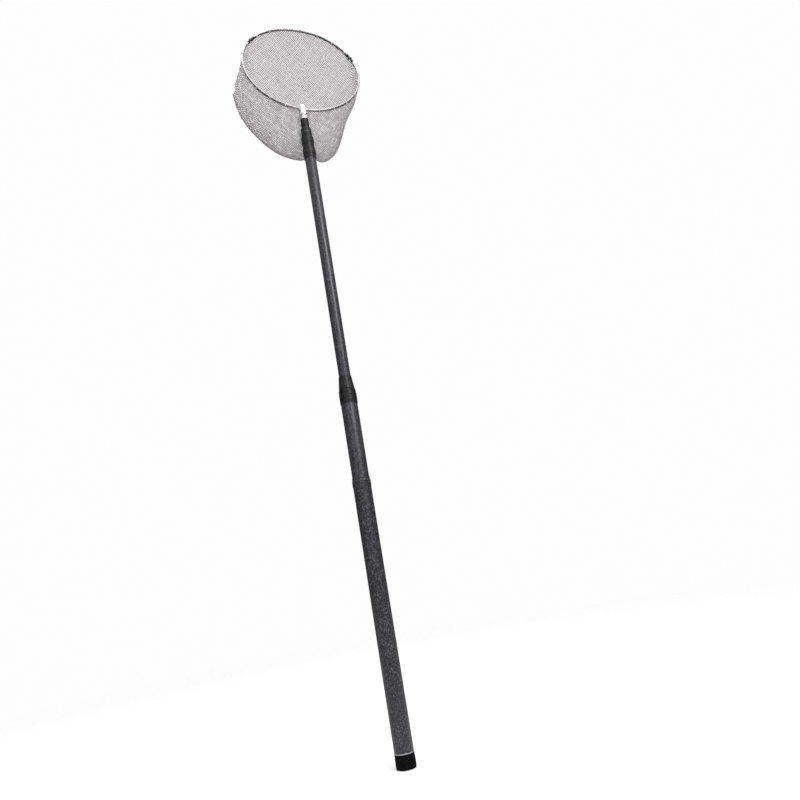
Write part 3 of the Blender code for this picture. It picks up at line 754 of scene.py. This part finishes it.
# ------------------------------------------------------------------ the hoop
def on_hoop(angle, radius=None, behind=0.0):
    """Points of the hoop: foot + across r sin a + up (R - r cos a) + behind. Angle 0 is at the
    pole and 180 degrees is the far side."""
    angle = np.asarray(angle, float)[..., None]
    behind = np.asarray(behind, float)[..., None]
    radius = HOOP_RADIUS if radius is None else np.asarray(radius, float)[..., None]
    sideways, upwards = radius * np.sin(angle), HOOP_RADIUS - radius * np.cos(angle)
    return FOOT + ACROSS * sideways + UP * upwards + BEHIND * behind


def side_wire(name, node, side):
    """A third of the hoop whose end bends down, on a parabola, into a straight tang."""
    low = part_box(node)[0].z + 0.05 * MM
    foot = np.array([side * TANG_X, 0, low])
    start = np.array([side * TANG_X, 0, FOOT[2] - TANG_BEND_DROP])
    corner = np.array([side * TANG_X, 0, FOOT[2]])
    stop = on_hoop(side * TANG_BEND)
    t = np.linspace(0, 1, 16)[:-1, None]
    curve = start * (1 - t) ** 2 + corner * 2 * t * (1 - t) + stop * t**2
    last = HINGE_TURN - WIRE_END / HOOP_RADIUS
    arc = on_hoop(side * np.linspace(TANG_BEND, last, 150))
    path = np.concatenate([foot[None], foot[None] + (start - foot) * 0.5, curve, arc])
    piece = tube(name, path, WIRE_RADIUS, BEHIND, WIRE, 20)
    return place(piece, "head", "bright_steel", node)


def front_wire():
    start = HINGE_TURN + WIRE_END / HOOP_RADIUS
    path = on_hoop(np.linspace(start, 2 * math.pi - start, 150))
    piece = tube("front_hoop_wire", path, WIRE_RADIUS, BEHIND, WIRE, 20)
    return place(piece, "front_arc", "bright_steel", "front_wire")


def hinge_lug(name, node, body, side, swings):
    """Half a hinge: a round section that is carried from the wire's sleeve to the eye, where it
    becomes a flat tongue with a half-round end. The tongue's half height is sqrt(r^2 - q^2) past
    the pin, q being the distance from it."""
    outward = side * (-1 if swings else 1)
    away = 1 if swings else -1
    eye = -LUG_BARREL_RADIUS * np.cos(np.linspace(0.12, math.pi / 2, 9))
    q = np.concatenate([eye, np.linspace(0.6 * MM, LUG_SLEEVE_TO, 34)])
    angle = side * (HINGE_TURN + away * q / HOOP_RADIUS)
    centre = on_hoop(angle)
    sleeve = smooth_step(1.5 * MM, LUG_SLEEVE_FROM, q)
    half_across = LUG_WIDTH / 2 + (LUG_SLEEVE_RADIUS - LUG_WIDTH / 2) * sleeve
    half_behind = LUG_BARREL_RADIUS + (LUG_SLEEVE_RADIUS - LUG_BARREL_RADIUS) * sleeve
    end = np.sqrt(np.clip(1 - (np.minimum(q, 0) / LUG_BARREL_RADIUS) ** 2, 0.004, 1))
    turned_in = LUG_SLEEVE_TO - 1.2 * MM
    past = np.maximum(q - turned_in, 0) / (1.25 * MM)
    tail = 1 - 0.25 * (1 - np.sqrt(np.clip(1 - past**2, 0, 1)))
    offset = (centre - PIVOT) @ ACROSS * outward - HOOP_RADIUS * math.sin(HINGE_TURN) * side * outward
    least = LUG_GAP + half_across * (1 - 0.13 * sleeve)
    centre = centre + ACROSS * (outward * (np.maximum(offset, least) - offset))[:, None]
    tangent = unit(np.gradient(on_hoop(angle), axis=0))
    sideways = np.cross(tangent, BEHIND)
    sideways = sideways * np.sign((sideways @ ACROSS))[:, None]
    wide = unit(ACROSS * (1 - sleeve)[:, None] + sideways * sleeve[:, None])
    sides = 28
    turn = np.arange(sides) * 2 * math.pi / sides
    power = 0.62 + 0.38 * sleeve
    rim_wide = np.sign(np.cos(turn)) * np.abs(np.cos(turn)) ** power[:, None]
    rim_behind = np.sign(np.sin(turn)) * np.abs(np.sin(turn)) ** power[:, None]
    points = centre[:, None]
    points = points + wide[:, None] * (half_across * tail)[:, None, None] * rim_wide[..., None]
    points = points + BEHIND * ((half_behind * end * tail)[:, None] * rim_behind)[..., None]
    rows = len(q)
    grid = np.arange(rows * sides).reshape(rows, sides)
    groups = [strip_quads(grid), np.stack([grid[0][::-1], grid[-1]])]
    if np.dot(np.cross(wide[20], BEHIND), tangent[20]) < 0:
        groups = [group[:, ::-1] for group in groups]
    piece = make_mesh(name, points, groups, MOULDED)
    return place(piece, body, "black_plastic", node)


def rivet(name, node, side):
    """A domed rivet: its heads are parabolas 1 mm high, turned and laid along the fold line."""
    half = LUG_GAP + LUG_WIDTH + TOUCH_GAP
    head, dome = RIVET_HEAD_RADIUS, 1.0 * MM
    share = np.linspace(0, 1, 9)
    low_head = [(head * s, -half - dome * (1 - s * s), 0) for s in share]
    high_head = [(head * s, half + dome * (1 - s * s), 0) for s in share[::-1]]
    shank = [(head, -half, 0), (PIN_RADIUS, -half, 0), (PIN_RADIUS, half, 0), (head, half, 0)]
    outline = low_head + shank + high_head
    piece = turned(name, outline, RING, 48)
    centre = PIVOT + ACROSS * side * HOOP_RADIUS * math.sin(HINGE_TURN)
    turn = Matrix(np.column_stack([UP * -1, BEHIND, ACROSS]).tolist()).to_4x4()
    piece.data.transform(Matrix.Translation(Vector(centre)) @ turn)
    return place(piece, "head", "bright_steel", node)


def connector():
    """The plated connector. Its flange is turned. Its body is a rounded oblong carried upwards,
    |x/a|^n + |y/b|^n = 1, with a round groove for a tang down each side: a ray from the middle
    stops where it meets the groove's circle. The top closes over in a quarter-round."""
    low, high = block_low[2], block_high[2]
    flange = [
        (0, low, 0),
        (FLANGE_RADIUS, low, 0.9 * MM),
        (FLANGE_RADIUS, low + 3.0 * MM, 0),
        (FLANGE_RADIUS, low + FLANGE_HEIGHT, 1.2 * MM),
        (0, low + FLANGE_HEIGHT, 0),
    ]
    flange_piece = turned("connector_flange", flange, CHROME, 128)
    place(flange_piece, "head", "connector_chrome", "connector_block")

    power = 4.5
    groove = WIRE_RADIUS + 0.35 * MM
    sides, levels, top_curve = 192, 12, 2.0 * MM
    turn = np.arange(sides) * 2 * math.pi / sides
    wide, deep = np.cos(turn) / BLOCK_HALF_WIDTH, np.sin(turn) / BLOCK_HALF_DEPTH
    reach = (np.abs(wide) ** power + np.abs(deep) ** power) ** (-1 / power)
    inside = groove**2 - (TANG_X * np.sin(turn)) ** 2
    meets = TANG_X * np.abs(np.cos(turn)) - np.sqrt(np.maximum(inside, 0))
    reach = np.where(inside > 0, np.minimum(reach, meets), reach)
    bend = np.linspace(0, math.pi / 2, 9)[1:]
    upright = np.linspace(low + FLANGE_HEIGHT - 0.4 * MM, high - top_curve, levels)
    heights = np.concatenate([upright, high - top_curve + top_curve * np.sin(bend)])
    inset = np.concatenate([np.zeros(levels), top_curve * (1 - np.cos(bend))])
    radius = np.maximum(reach[None] - inset[:, None], 0.5 * MM)
    radius = np.concatenate([radius, radius[-1:] * 0.5])
    heights = np.append(heights, heights[-1])
    level = np.repeat(heights[:, None], sides, 1)
    points = np.stack([radius * np.cos(turn), radius * np.sin(turn), level], -1).reshape(-1, 3)
    rows = len(heights)
    grid = np.arange(rows * sides).reshape(rows, sides)
    middle = rows * sides
    points = np.concatenate([points, [(0, 0, heights[-1]), (0, 0, heights[0])]])
    over = np.stack([grid[-1], np.roll(grid[-1], -1), np.full(sides, middle)], 1)
    under = np.stack([np.roll(grid[0], -1), grid[0], np.full(sides, middle + 1)], 1)
    body = make_mesh("connector_body", points, [strip_quads(grid), np.concatenate([over, under])], CHROME)
    crease(body, 40)
    place(body, "head", "connector_chrome", "connector_block")


def crease(piece, degrees):
    """Edges that bend more than this are drawn sharp."""
    piece.data.set_sharp_from_angle(angle=math.radians(degrees))


def hoop():
    wires = [
        side_wire("left_hoop_wire", "left_wire", -1),
        side_wire("right_hoop_wire", "right_wire", 1),
        front_wire(),
    ]
    for word, side in (("left", -1), ("right", 1)):
        hinge_lug(f"{word}_fixed_hinge", f"{word}_fixed_lug", "head", side, False)
        hinge_lug(f"{word}_swing_hinge", f"{word}_swing_lug", "front_arc", side, True)
        rivet(f"{word}_hinge_pin", f"{word}_hinge_rivet", side)
    connector()
    return wires


# ------------------------------------------------------------------ the net
def outline_height(x):
    """The bag's outline at x: a cubic between each pair of points, whose slope at a point is that
    of the line between its neighbours."""
    xs, zs = SEAM_OUTLINE.T
    slopes = np.empty(len(xs))
    slopes[1:-1] = (zs[2:] - zs[:-2]) / (xs[2:] - xs[:-2])
    slopes[0] = (zs[1] - zs[0]) / (xs[1] - xs[0])
    slopes[-1] = (zs[-1] - zs[-2]) / (xs[-1] - xs[-2])
    k = np.clip(np.searchsorted(xs, x, side="right") - 1, 0, len(xs) - 2)
    width = xs[k + 1] - xs[k]
    t = (x - xs[k]) / width
    bend = width * (slopes[k] * t * (1 - t) ** 2 - slopes[k + 1] * t**2 * (1 - t))
    return zs[k] + (zs[k + 1] - zs[k]) * t * t * (3 - 2 * t) + bend


def near(angle, place_at, width):
    """1 at an angle on the hoop and 0 beyond a width from it, falling as cos^2."""
    off = np.abs((np.asarray(angle) - place_at + math.pi) % (2 * math.pi) - math.pi)
    return np.where(off < width, np.cos(off / width * math.pi / 2) ** 2, 0.0)


def edge_behind(angle):
    """How far the net's edge lies behind the hoop: further where it passes the hardware."""
    wide = math.radians(9)
    hardware = near(angle, 0, wide) + near(angle, HINGE_TURN, wide) + near(angle, -HINGE_TURN, wide)
    hardware = np.minimum(hardware * 1.35, 1)
    return EDGE_BEHIND + (EDGE_BEHIND_HARDWARE - EDGE_BEHIND) * hardware


def bag_surface(angle, share):
    """The bag: share 0 is its edge at the hoop and 1 its lower outline, by sin(share pi / 2)
    between them. The panels part in a sine bulge, the front one is pressed back behind the pole,
    and both hang in soft upright folds, which are sums of sines of x that grow downwards."""
    angle, share = np.broadcast_arrays(angle, share)
    across = np.sin(angle)
    backward = -np.cos(angle)
    left, right = SEAM_OUTLINE[0, 0], SEAM_OUTLINE[-1, 0]
    seam_x = left + (right - left) * (across + 1) / 2
    lift = NOTCH_RISE * np.exp(-(((seam_x - NOTCH_X) / NOTCH_WIDTH) ** 2))
    seam = np.stack([seam_x, np.full_like(seam_x, SEAM_Y), outline_height(seam_x) + lift], -1)
    edge = on_hoop(angle, behind=edge_behind(angle))
    fall = np.sin(share * math.pi / 2)[..., None]
    point = edge + (seam - edge) * fall
    bulge = np.where(backward > 0, BULGE_BACK, BULGE_FRONT)
    y = point[..., 1] + backward * bulge * np.sin(math.pi * share)
    x, z = point[..., 0], point[..., 2]
    folds = 1.5 * np.sin(95 * x + 9 * z) + 1.1 * np.sin(171 * x - 14 * z + 1.3)
    folds = folds + 0.7 * np.sin(60 * z + 40 * x)
    y = y + MM * folds * np.abs(backward) * share * (1 - share) * 2.4
    groove = POLE_CLEARANCE + POLE_CLEARANCE_MORE * (1 - smooth_step(1.452, 1.512, z))
    wall = groove * np.exp(-((x / CLEARANCE_WIDTH) ** 2))
    near_pole = (1 - smooth_step(1.545, 1.580, z)) * (backward < 0.5)
    pushed = 0.5 * (y + wall + np.hypot(y - wall, 4 * MM))
    y = y + (pushed - y) * near_pole
    return np.stack([x, y, z], -1)


class Panel:
    """One panel of the bag as a table of points over (u, v), in metres on the net: u runs across
    it and v down it, along the surface. v starts at minus the edge's height, so the net hangs
    straight."""

    HALF_WIDTH = 0.155
    MIDDLE_HEIGHT = 1.62

    def __init__(self, back):
        sections, steps = 311, 181
        self.across = np.sin(np.linspace(-math.pi / 2, math.pi / 2, sections))
        angle = np.arcsin(self.across)
        angle = math.pi - angle if back else angle
        share = np.linspace(0, 1, steps)
        points = bag_surface(angle[:, None], share[None, :])
        lengths = np.linalg.norm(np.diff(points, axis=1), axis=2)
        down = np.concatenate([np.zeros((sections, 1)), np.cumsum(lengths, 1)], 1)
        down = down + (self.MIDDLE_HEIGHT - points[:, :1, 2])
        self.first, self.last = down[:, 0], down[:, -1]
        self.v = np.arange(self.first.min() - 0.01, self.last.max() + 0.01, 1.0 * MM)
        table = [
            np.stack([np.interp(self.v, row_v, row[:, axis]) for axis in range(3)], -1)
            for row_v, row in zip(down, points)
        ]
        self.table = np.array(table)
        middle = np.linalg.norm(np.cross(
            points[1:, 1:] - points[:-1, :-1], points[1:, :-1] - points[:-1, 1:]
        ), axis=2)
        self.area = float(middle.sum() / 2)
        self.turned = 1.0 if back else -1.0

    def section(self, u):
        """Fractional section number of each u."""
        place_at = np.clip(u / self.HALF_WIDTH, -1, 1)
        return (np.arcsin(place_at) / math.pi + 0.5) * (len(self.across) - 1)

    def inside(self, u, v):
        at = self.section(u)
        index = np.arange(len(self.across))
        first, last = np.interp(at, index, self.first), np.interp(at, index, self.last)
        return (np.abs(u) < self.HALF_WIDTH) & (v > first) & (v < last)

    def point(self, u, v):
        """Points of the panel, between the table's four nearest. Past an edge they stay on it."""
        at = self.section(u)
        i = np.clip(at.astype(int), 0, len(self.across) - 2)
        s = np.clip(at - i, 0, 1)[..., None]
        down = (v - self.v[0]) / (self.v[1] - self.v[0])
        j = np.clip(down.astype(int), 0, len(self.v) - 2)
        t = np.clip(down - j, 0, 1)[..., None]
        low = self.table[i, j] * (1 - t) + self.table[i, j + 1] * t
        high = self.table[i + 1, j] * (1 - t) + self.table[i + 1, j + 1] * t
        return low * (1 - s) + high * s

    def normal(self, u, v):
        step = 2 * MM
        along = self.point(u + step, v) - self.point(u - step, v)
        down = self.point(u, v + step) - self.point(u, v - step)
        crossed = np.cross(down, along)
        weak = np.linalg.norm(crossed, axis=-1, keepdims=True) < 1e-9
        crossed = np.where(weak, np.array([0.0, 1.0, 0.0]), crossed)
        return unit(crossed) * self.turned


def uneven(u, v):
    """The net isn't quite even: each knot is drawn aside by sums of long sines."""
    du = 0.9 * np.sin(90 * v + 40 * u) + 0.6 * np.sin(230 * v - 150 * u + 1.0)
    du = du + 0.3 * np.sin(520 * u + 310 * v)
    dv = 0.9 * np.sin(85 * u - 50 * v + 2.0) + 0.6 * np.sin(210 * u + 170 * v)
    dv = dv + 0.3 * np.sin(480 * v - 350 * u)
    return u + du * MM, v + dv * MM


def strand_family(panel, lean, radius):
    """All the strands of one lean: u = a (2k - lean v / b), for every whole number k and with v in
    steps of half a diamond. Each is a four-sided tube, cut where it leaves the panel, and its cut
    ends are closed."""
    sides = 4
    a, b = DIAMOND_HALF_WIDTH, DIAMOND_HALF_HEIGHT
    first = int(math.floor(panel.v[0] / (b / 2)))
    last = int(math.ceil(panel.v[-1] / (b / 2)))
    v = np.arange(first, last + 1) * b / 2
    reach = panel.HALF_WIDTH / (2 * a) + np.abs(v).max() / (2 * b)
    k = np.arange(-math.ceil(reach), math.ceil(reach) + 1)
    u = a * (2 * k[:, None] - lean * v[None, :] / b)
    v = np.repeat(v[None, :], len(k), 0)
    inside = panel.inside(u, v)
    keep = inside.sum(1) > 1
    u, v, inside = u[keep], v[keep], inside[keep]
    u, v = uneven(u, v)
    path = panel.point(u, v)
    normal = panel.normal(u, v)
    tangent = unit(np.gradient(path, axis=1))
    side = unit(normal - tangent * (normal * tangent).sum(-1, keepdims=True))
    other = np.cross(tangent, side)
    turn = (np.arange(sides) + 0.5) * 2 * math.pi / sides
    ring = np.cos(turn)[:, None] * side[:, :, None] + np.sin(turn)[:, None] * other[:, :, None]
    points = path[:, :, None] + radius * ring
    strands, samples = inside.shape
    joined = inside[:, :-1] | inside[:, 1:]
    number = np.arange(strands * samples * sides).reshape(strands, samples, sides)
    lower, upper = number[:, :-1][joined], number[:, 1:][joined]
    quads = np.stack([lower, np.roll(lower, -1, 1), np.roll(upper, -1, 1), upper], -1).reshape(-1, 4)
    before = np.concatenate([np.zeros((strands, 1), bool), joined], 1)
    after = np.concatenate([joined, np.zeros((strands, 1), bool)], 1)
    starts, stops = number[after & ~before][:, ::-1], number[before & ~after]
    length = np.arange(samples) * math.hypot(a, b) / 2
    where = np.broadcast_to(length[:-1], joined.shape)[joined]
    beyond = where + length[1]
    column = np.arange(sides) / sides
    corner = np.zeros((len(where), sides, 4, 2))
    corner[:, :, 0, 0] = corner[:, :, 1, 0] = where[:, None]
    corner[:, :, 2, 0] = corner[:, :, 3, 0] = beyond[:, None]
    corner[:, :, 0, 1] = corner[:, :, 3, 1] = column
    corner[:, :, 1, 1] = corner[:, :, 2, 1] = column + 1 / sides
    caps = np.concatenate([starts, stops])
    used = np.zeros(number.size, bool)
    used[quads.reshape(-1)] = True
    renumber = np.cumsum(used) - 1
    return (
        points.reshape(-1, 3)[used],
        [renumber[quads], renumber[caps]],
        [corner.reshape(-1, 4, 2), np.zeros((len(caps), sides, 2))],
    )


def ball():
    """A unit ball of a few faces: rings at equal steps of latitude between two poles."""
    rows, sides = 3, 6
    latitude = np.linspace(-math.pi / 2, math.pi / 2, rows + 2)[1:-1]
    turn = np.arange(sides) * 2 * math.pi / sides
    rings = np.stack([
        np.cos(latitude)[:, None] * np.cos(turn),
        np.cos(latitude)[:, None] * np.sin(turn),
        np.repeat(np.sin(latitude)[:, None], sides, 1),
    ], -1).reshape(-1, 3)
    points = np.concatenate([rings, [(0, 0, -1), (0, 0, 1)]])
    grid = np.arange(rows * sides).reshape(rows, sides)
    low, high = rows * sides, rows * sides + 1
    under = np.stack([np.full(sides, low), np.roll(grid[0], -1), grid[0]], 1)
    over = np.stack([grid[-1], np.roll(grid[-1], -1), np.full(sides, high)], 1)
    return points, strip_quads(grid), np.concatenate([under, over])


def knots(panel, radius):
    """A flattened ball at each crossing, long down the panel, at u = a (k + m), v = b (k - m)."""
    a, b = DIAMOND_HALF_WIDTH, DIAMOND_HALF_HEIGHT
    rows = np.arange(math.floor(panel.v[0] / b), math.ceil(panel.v[-1] / b) + 1)
    columns = np.arange(-math.ceil(panel.HALF_WIDTH / a), math.ceil(panel.HALF_WIDTH / a) + 1)
    row, column = np.meshgrid(rows, columns, indexing="ij")
    even = (row + column) % 2 == 0
    u, v = column[even] * a, row[even] * b
    inside = panel.inside(u, v)
    u, v = uneven(u[inside], v[inside])
    centre, normal = panel.point(u, v), panel.normal(u, v)
    down = unit(panel.point(u, v + 2 * MM) - panel.point(u, v - 2 * MM))
    along = unit(np.cross(down, normal))
    down = np.cross(normal, along)
    shape, quads, triangles = ball()
    size = radius * (1 + 0.12 * np.sin(37 * np.arange(len(u))))[:, None, None]
    points = centre[:, None] + size * (
        shape[None, :, :1] * 0.95 * along[:, None]
        + shape[None, :, 1:2] * 1.15 * down[:, None]
        + shape[None, :, 2:] * 0.80 * normal[:, None]
    )
    shift = (np.arange(len(u)) * len(shape))[:, None, None]
    groups = [(quads + shift).reshape(-1, 4), (triangles + shift).reshape(-1, 3)]
    if np.linalg.det(np.stack([along[0], down[0], normal[0]])) < 0:
        groups = [group[:, ::-1] for group in groups]
    uvs = [np.zeros((len(group), group.shape[1], 2)) for group in groups]
    return points.reshape(-1, 3), groups, uvs


def across_fold(piece):
    """The piece's transform is baked into its mesh, and the piece is left on no body."""
    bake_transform(piece)


def net():
    made = []
    for word, back in (("back", True), ("front", False)):
        panel = Panel(back)
        # The front panel takes the lighter copy of the thread as painted light, and the back panel the
        # darker copy as painted shade.
        thread = BACK_NET_PAINTED_SHADE if back else FRONT_NET_PAINTED_LIGHT
        radius = THREAD_RADIUS if back else FRONT_THREAD_RADIUS
        families = [strand_family(panel, lean, radius) for lean in (1, -1)]
        strands = gather(f"net_{word}_panel", families, thread)
        tied = gather(f"net_{word}_knots", [knots(panel, KNOT_OF_THREAD * radius)], thread)
        for piece in (strands, tied):
            if back:
                across_fold(piece)
            else:
                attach(piece, "head")
        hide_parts("net_bag")
        made.append((panel, strands, tied))
        print(f"{word} panel {panel.area:.4f} m2, strands {len(strands.data.polygons)} faces")
    return made


def hem(name, body, start, stop):
    """The cord that the net's edge is strung on, along its edge from one angle to another."""
    angle = np.linspace(start, stop, 160)
    path = on_hoop(angle, behind=edge_behind(angle))
    place(tube(name, path, HEM_RADIUS, BEHIND, CORD, 10), body, "net_mesh")


def lashing(angle):
    """Turns of thread round the wire and the hem cord: an oval that hugs both, side by side along
    the hoop."""
    parts = []
    steps = 24
    phase = np.arange(steps) * 2 * math.pi / steps
    for k in range(LASHING_TURNS):
        here = angle + (k - (LASHING_TURNS - 1) / 2) * LASHING_PITCH / HOOP_RADIUS
        behind = float(edge_behind(np.array(here)))
        far = behind + HEM_RADIUS + LASHING_RADIUS
        near_side = WIRE_RADIUS + LASHING_RADIUS
        middle, half = (far - near_side) / 2, (far + near_side) / 2
        along = -np.cos(phase)
        narrow = np.where(along > 0, 1 - 0.50 * along**2, 1)
        wide = near_side * narrow * np.sign(np.sin(phase)) * np.abs(np.sin(phase)) ** 0.8
        path = on_hoop(np.full(steps, here), HOOP_RADIUS + wide, middle + half * along)
        tangent = ACROSS * math.cos(here) + UP * math.sin(here)
        parts.append(tube_arrays(path, LASHING_RADIUS, tangent, 8, closed=True))
    return parts


def rim():
    gap = math.radians(1.2)
    hem("right_hem_cord", "head", 0, HINGE_TURN - gap)
    hem("left_hem_cord", "head", -HINGE_TURN + gap, 0)
    hem("front_hem_cord", "front_arc", HINGE_TURN + gap, 2 * math.pi - HINGE_TURN - gap)
    for name, body, degrees in (
        ("side_lashings", "head", SIDE_LASHINGS),
        ("front_lashings", "front_arc", FRONT_LASHINGS),
    ):
        both_sides = [side * d for d in degrees for side in (-1, 1) if d < 180 or side > 0]
        angles = sorted(math.radians(turn) for turn in both_sides)
        parts = [part for angle in angles for part in lashing(angle)]
        place(gather(name, parts, LASHING_THREAD), body, "net_mesh")


# ------------------------------------------------------------------ nodes that stay as the CAD has them
def inner_nodes():
    finishes = {
        "cap_plug": MOULDED,
        "plug_insert_ring": MOULDED,
        "guide_bush": MOULDED,
        "lock_collet": MOULDED,
        "stage2_foot_bush": MOULDED,
        "stage3_foot_bush": MOULDED,
        "stage4_foot_bush": MOULDED,
        "tip_foot_bush": MOULDED,
        "section_bumper": FOAM,
        "thread_insert": BRASS,
        "head_stud": WIRE,
    }
    for name, finish in finishes.items():
        node = frame["nodes"][name]
        node.data.materials.clear()
        node.data.materials.append(finish)


# ------------------------------------------------------------------ camera, floor and light
def camera():
    data = bpy.data.cameras.new("camera")
    data.sensor_width = 36.0
    data.lens = data.sensor_width / 2 / math.tan(FIELD_OF_VIEW / 2)
    data.clip_start = 0.01
    eye = bpy.data.objects.new("camera", data)
    bpy.context.scene.collection.objects.link(eye)
    ahead = Vector((
        math.sin(CAMERA_HEADING) * math.cos(CAMERA_PITCH),
        math.cos(CAMERA_HEADING) * math.cos(CAMERA_PITCH),
        math.sin(CAMERA_PITCH),
    ))
    level = ahead.cross(Vector((0, 0, 1))).normalized()
    upright = level.cross(ahead)
    above = upright * math.cos(CAMERA_ROLL) + level * math.sin(CAMERA_ROLL)
    right = ahead.cross(above)
    eye.matrix_world = Matrix.Translation(CAMERA_AT) @ Matrix((
        (right.x, above.x, -ahead.x, 0),
        (right.y, above.y, -ahead.y, 0),
        (right.z, above.z, -ahead.z, 0),
        (0, 0, 0, 1),
    ))
    bpy.context.scene.camera = eye


def floor():
    """A pale disc under the butt that fades out at its rim."""
    made, shader = new_material("floor_white", (0.93, 0.93, 0.93), 0.9, 0.0, 0.1)
    sides, rings = 96, 12
    turn = np.arange(sides) * 2 * math.pi / sides
    radius = np.linspace(0.02, 3.0, rings)
    level = cad_low.z - 0.5 * MM
    points = np.stack([
        radius[:, None] * np.cos(turn), radius[:, None] * np.sin(turn), np.full((rings, sides), level)
    ], -1).reshape(-1, 3)
    points = np.concatenate([points, [(0, 0, level)]])
    grid = np.arange(rings * sides).reshape(rings, sides)
    centre = np.stack([np.full(sides, rings * sides), grid[0], np.roll(grid[0], -1)], 1)
    quads = strip_quads(grid)[:, ::-1]
    tree = made.node_tree
    where = tree.nodes.new("ShaderNodeTexCoord")
    fade = tree.nodes.new("ShaderNodeVectorMath")
    fade.operation = "LENGTH"
    tree.links.new(where.outputs["Object"], fade.inputs[0])
    alpha = tree.nodes.new("ShaderNodeMapRange")
    alpha.inputs["From Min"].default_value = 0.9
    alpha.inputs["From Max"].default_value = 2.8
    alpha.inputs["To Min"].default_value = 1.0
    alpha.inputs["To Max"].default_value = 0.0
    tree.links.new(fade.outputs["Value"], alpha.inputs["Value"])
    tree.links.new(alpha.outputs["Result"], shader.inputs["Alpha"])
    make_mesh("floor", points, [quads, centre], made)


def area_light(name, at, towards, size, power):
    data = bpy.data.lights.new(name, "AREA")
    data.shape = "RECTANGLE"
    data.size, data.size_y = size
    data.energy = power
    lamp = bpy.data.objects.new(name, data)
    bpy.context.scene.collection.objects.link(lamp)
    lamp.location = at
    lamp.rotation_euler = (Vector(towards) - Vector(at)).to_track_quat("-Z", "Y").to_euler()


def world():
    """White where it is looked at directly. As light it is a soft dome: bright overhead, dark at
    the horizon and dim below, so that wire and plating have something to reflect."""
    made = bpy.data.worlds.new("studio")
    made.use_nodes = True
    tree = made.node_tree
    tree.nodes.clear()
    where = tree.nodes.new("ShaderNodeTexCoord")
    parts = tree.nodes.new("ShaderNodeSeparateXYZ")
    tree.links.new(where.outputs["Generated"], parts.inputs["Vector"])
    height = tree.nodes.new("ShaderNodeMapRange")
    height.inputs["From Min"].default_value = -1.0
    height.inputs["From Max"].default_value = 1.0
    tree.links.new(parts.outputs["Z"], height.inputs["Value"])
    dome = ramp(tree, height.outputs["Result"], [
        (0.00, (0.10, 0.10, 0.10)),
        (0.46, (0.03, 0.03, 0.032)),
        (0.66, (0.12, 0.12, 0.125)),
        (0.90, (1.1, 1.1, 1.1)),
    ])
    soft = tree.nodes.new("ShaderNodeBackground")
    soft.inputs["Strength"].default_value = 1.0
    tree.links.new(dome, soft.inputs["Color"])
    seen = tree.nodes.new("ShaderNodeBackground")
    seen.inputs["Color"].default_value = (0.985, 0.985, 0.985, 1)
    path = tree.nodes.new("ShaderNodeLightPath")
    choose = tree.nodes.new("ShaderNodeMixShader")
    tree.links.new(path.outputs["Is Camera Ray"], choose.inputs["Fac"])
    tree.links.new(soft.outputs["Background"], choose.inputs[1])
    tree.links.new(seen.outputs["Background"], choose.inputs[2])
    out = tree.nodes.new("ShaderNodeOutputWorld")
    tree.links.new(choose.outputs["Shader"], out.inputs["Surface"])
    bpy.context.scene.world = made


def studio():
    floor()
    world()
    area_light("overhead", (0.1, -0.1, 3.6), (0, 0, 1.2), (2.2, 2.2), 55)
    area_light("key", (0.75, -2.3, 2.1), (0, 0, 1.25), (1.1, 1.2), 54)
    area_light("fill", (-1.9, -2.2, 1.6), (0, 0, 1.1), (0.7, 1.8), 12)
    bpy.context.scene.view_settings.view_transform = "Standard"


camera()
pole()
hoop_wires = hoop()
panels = net()
rim()
inner_nodes()
studio()
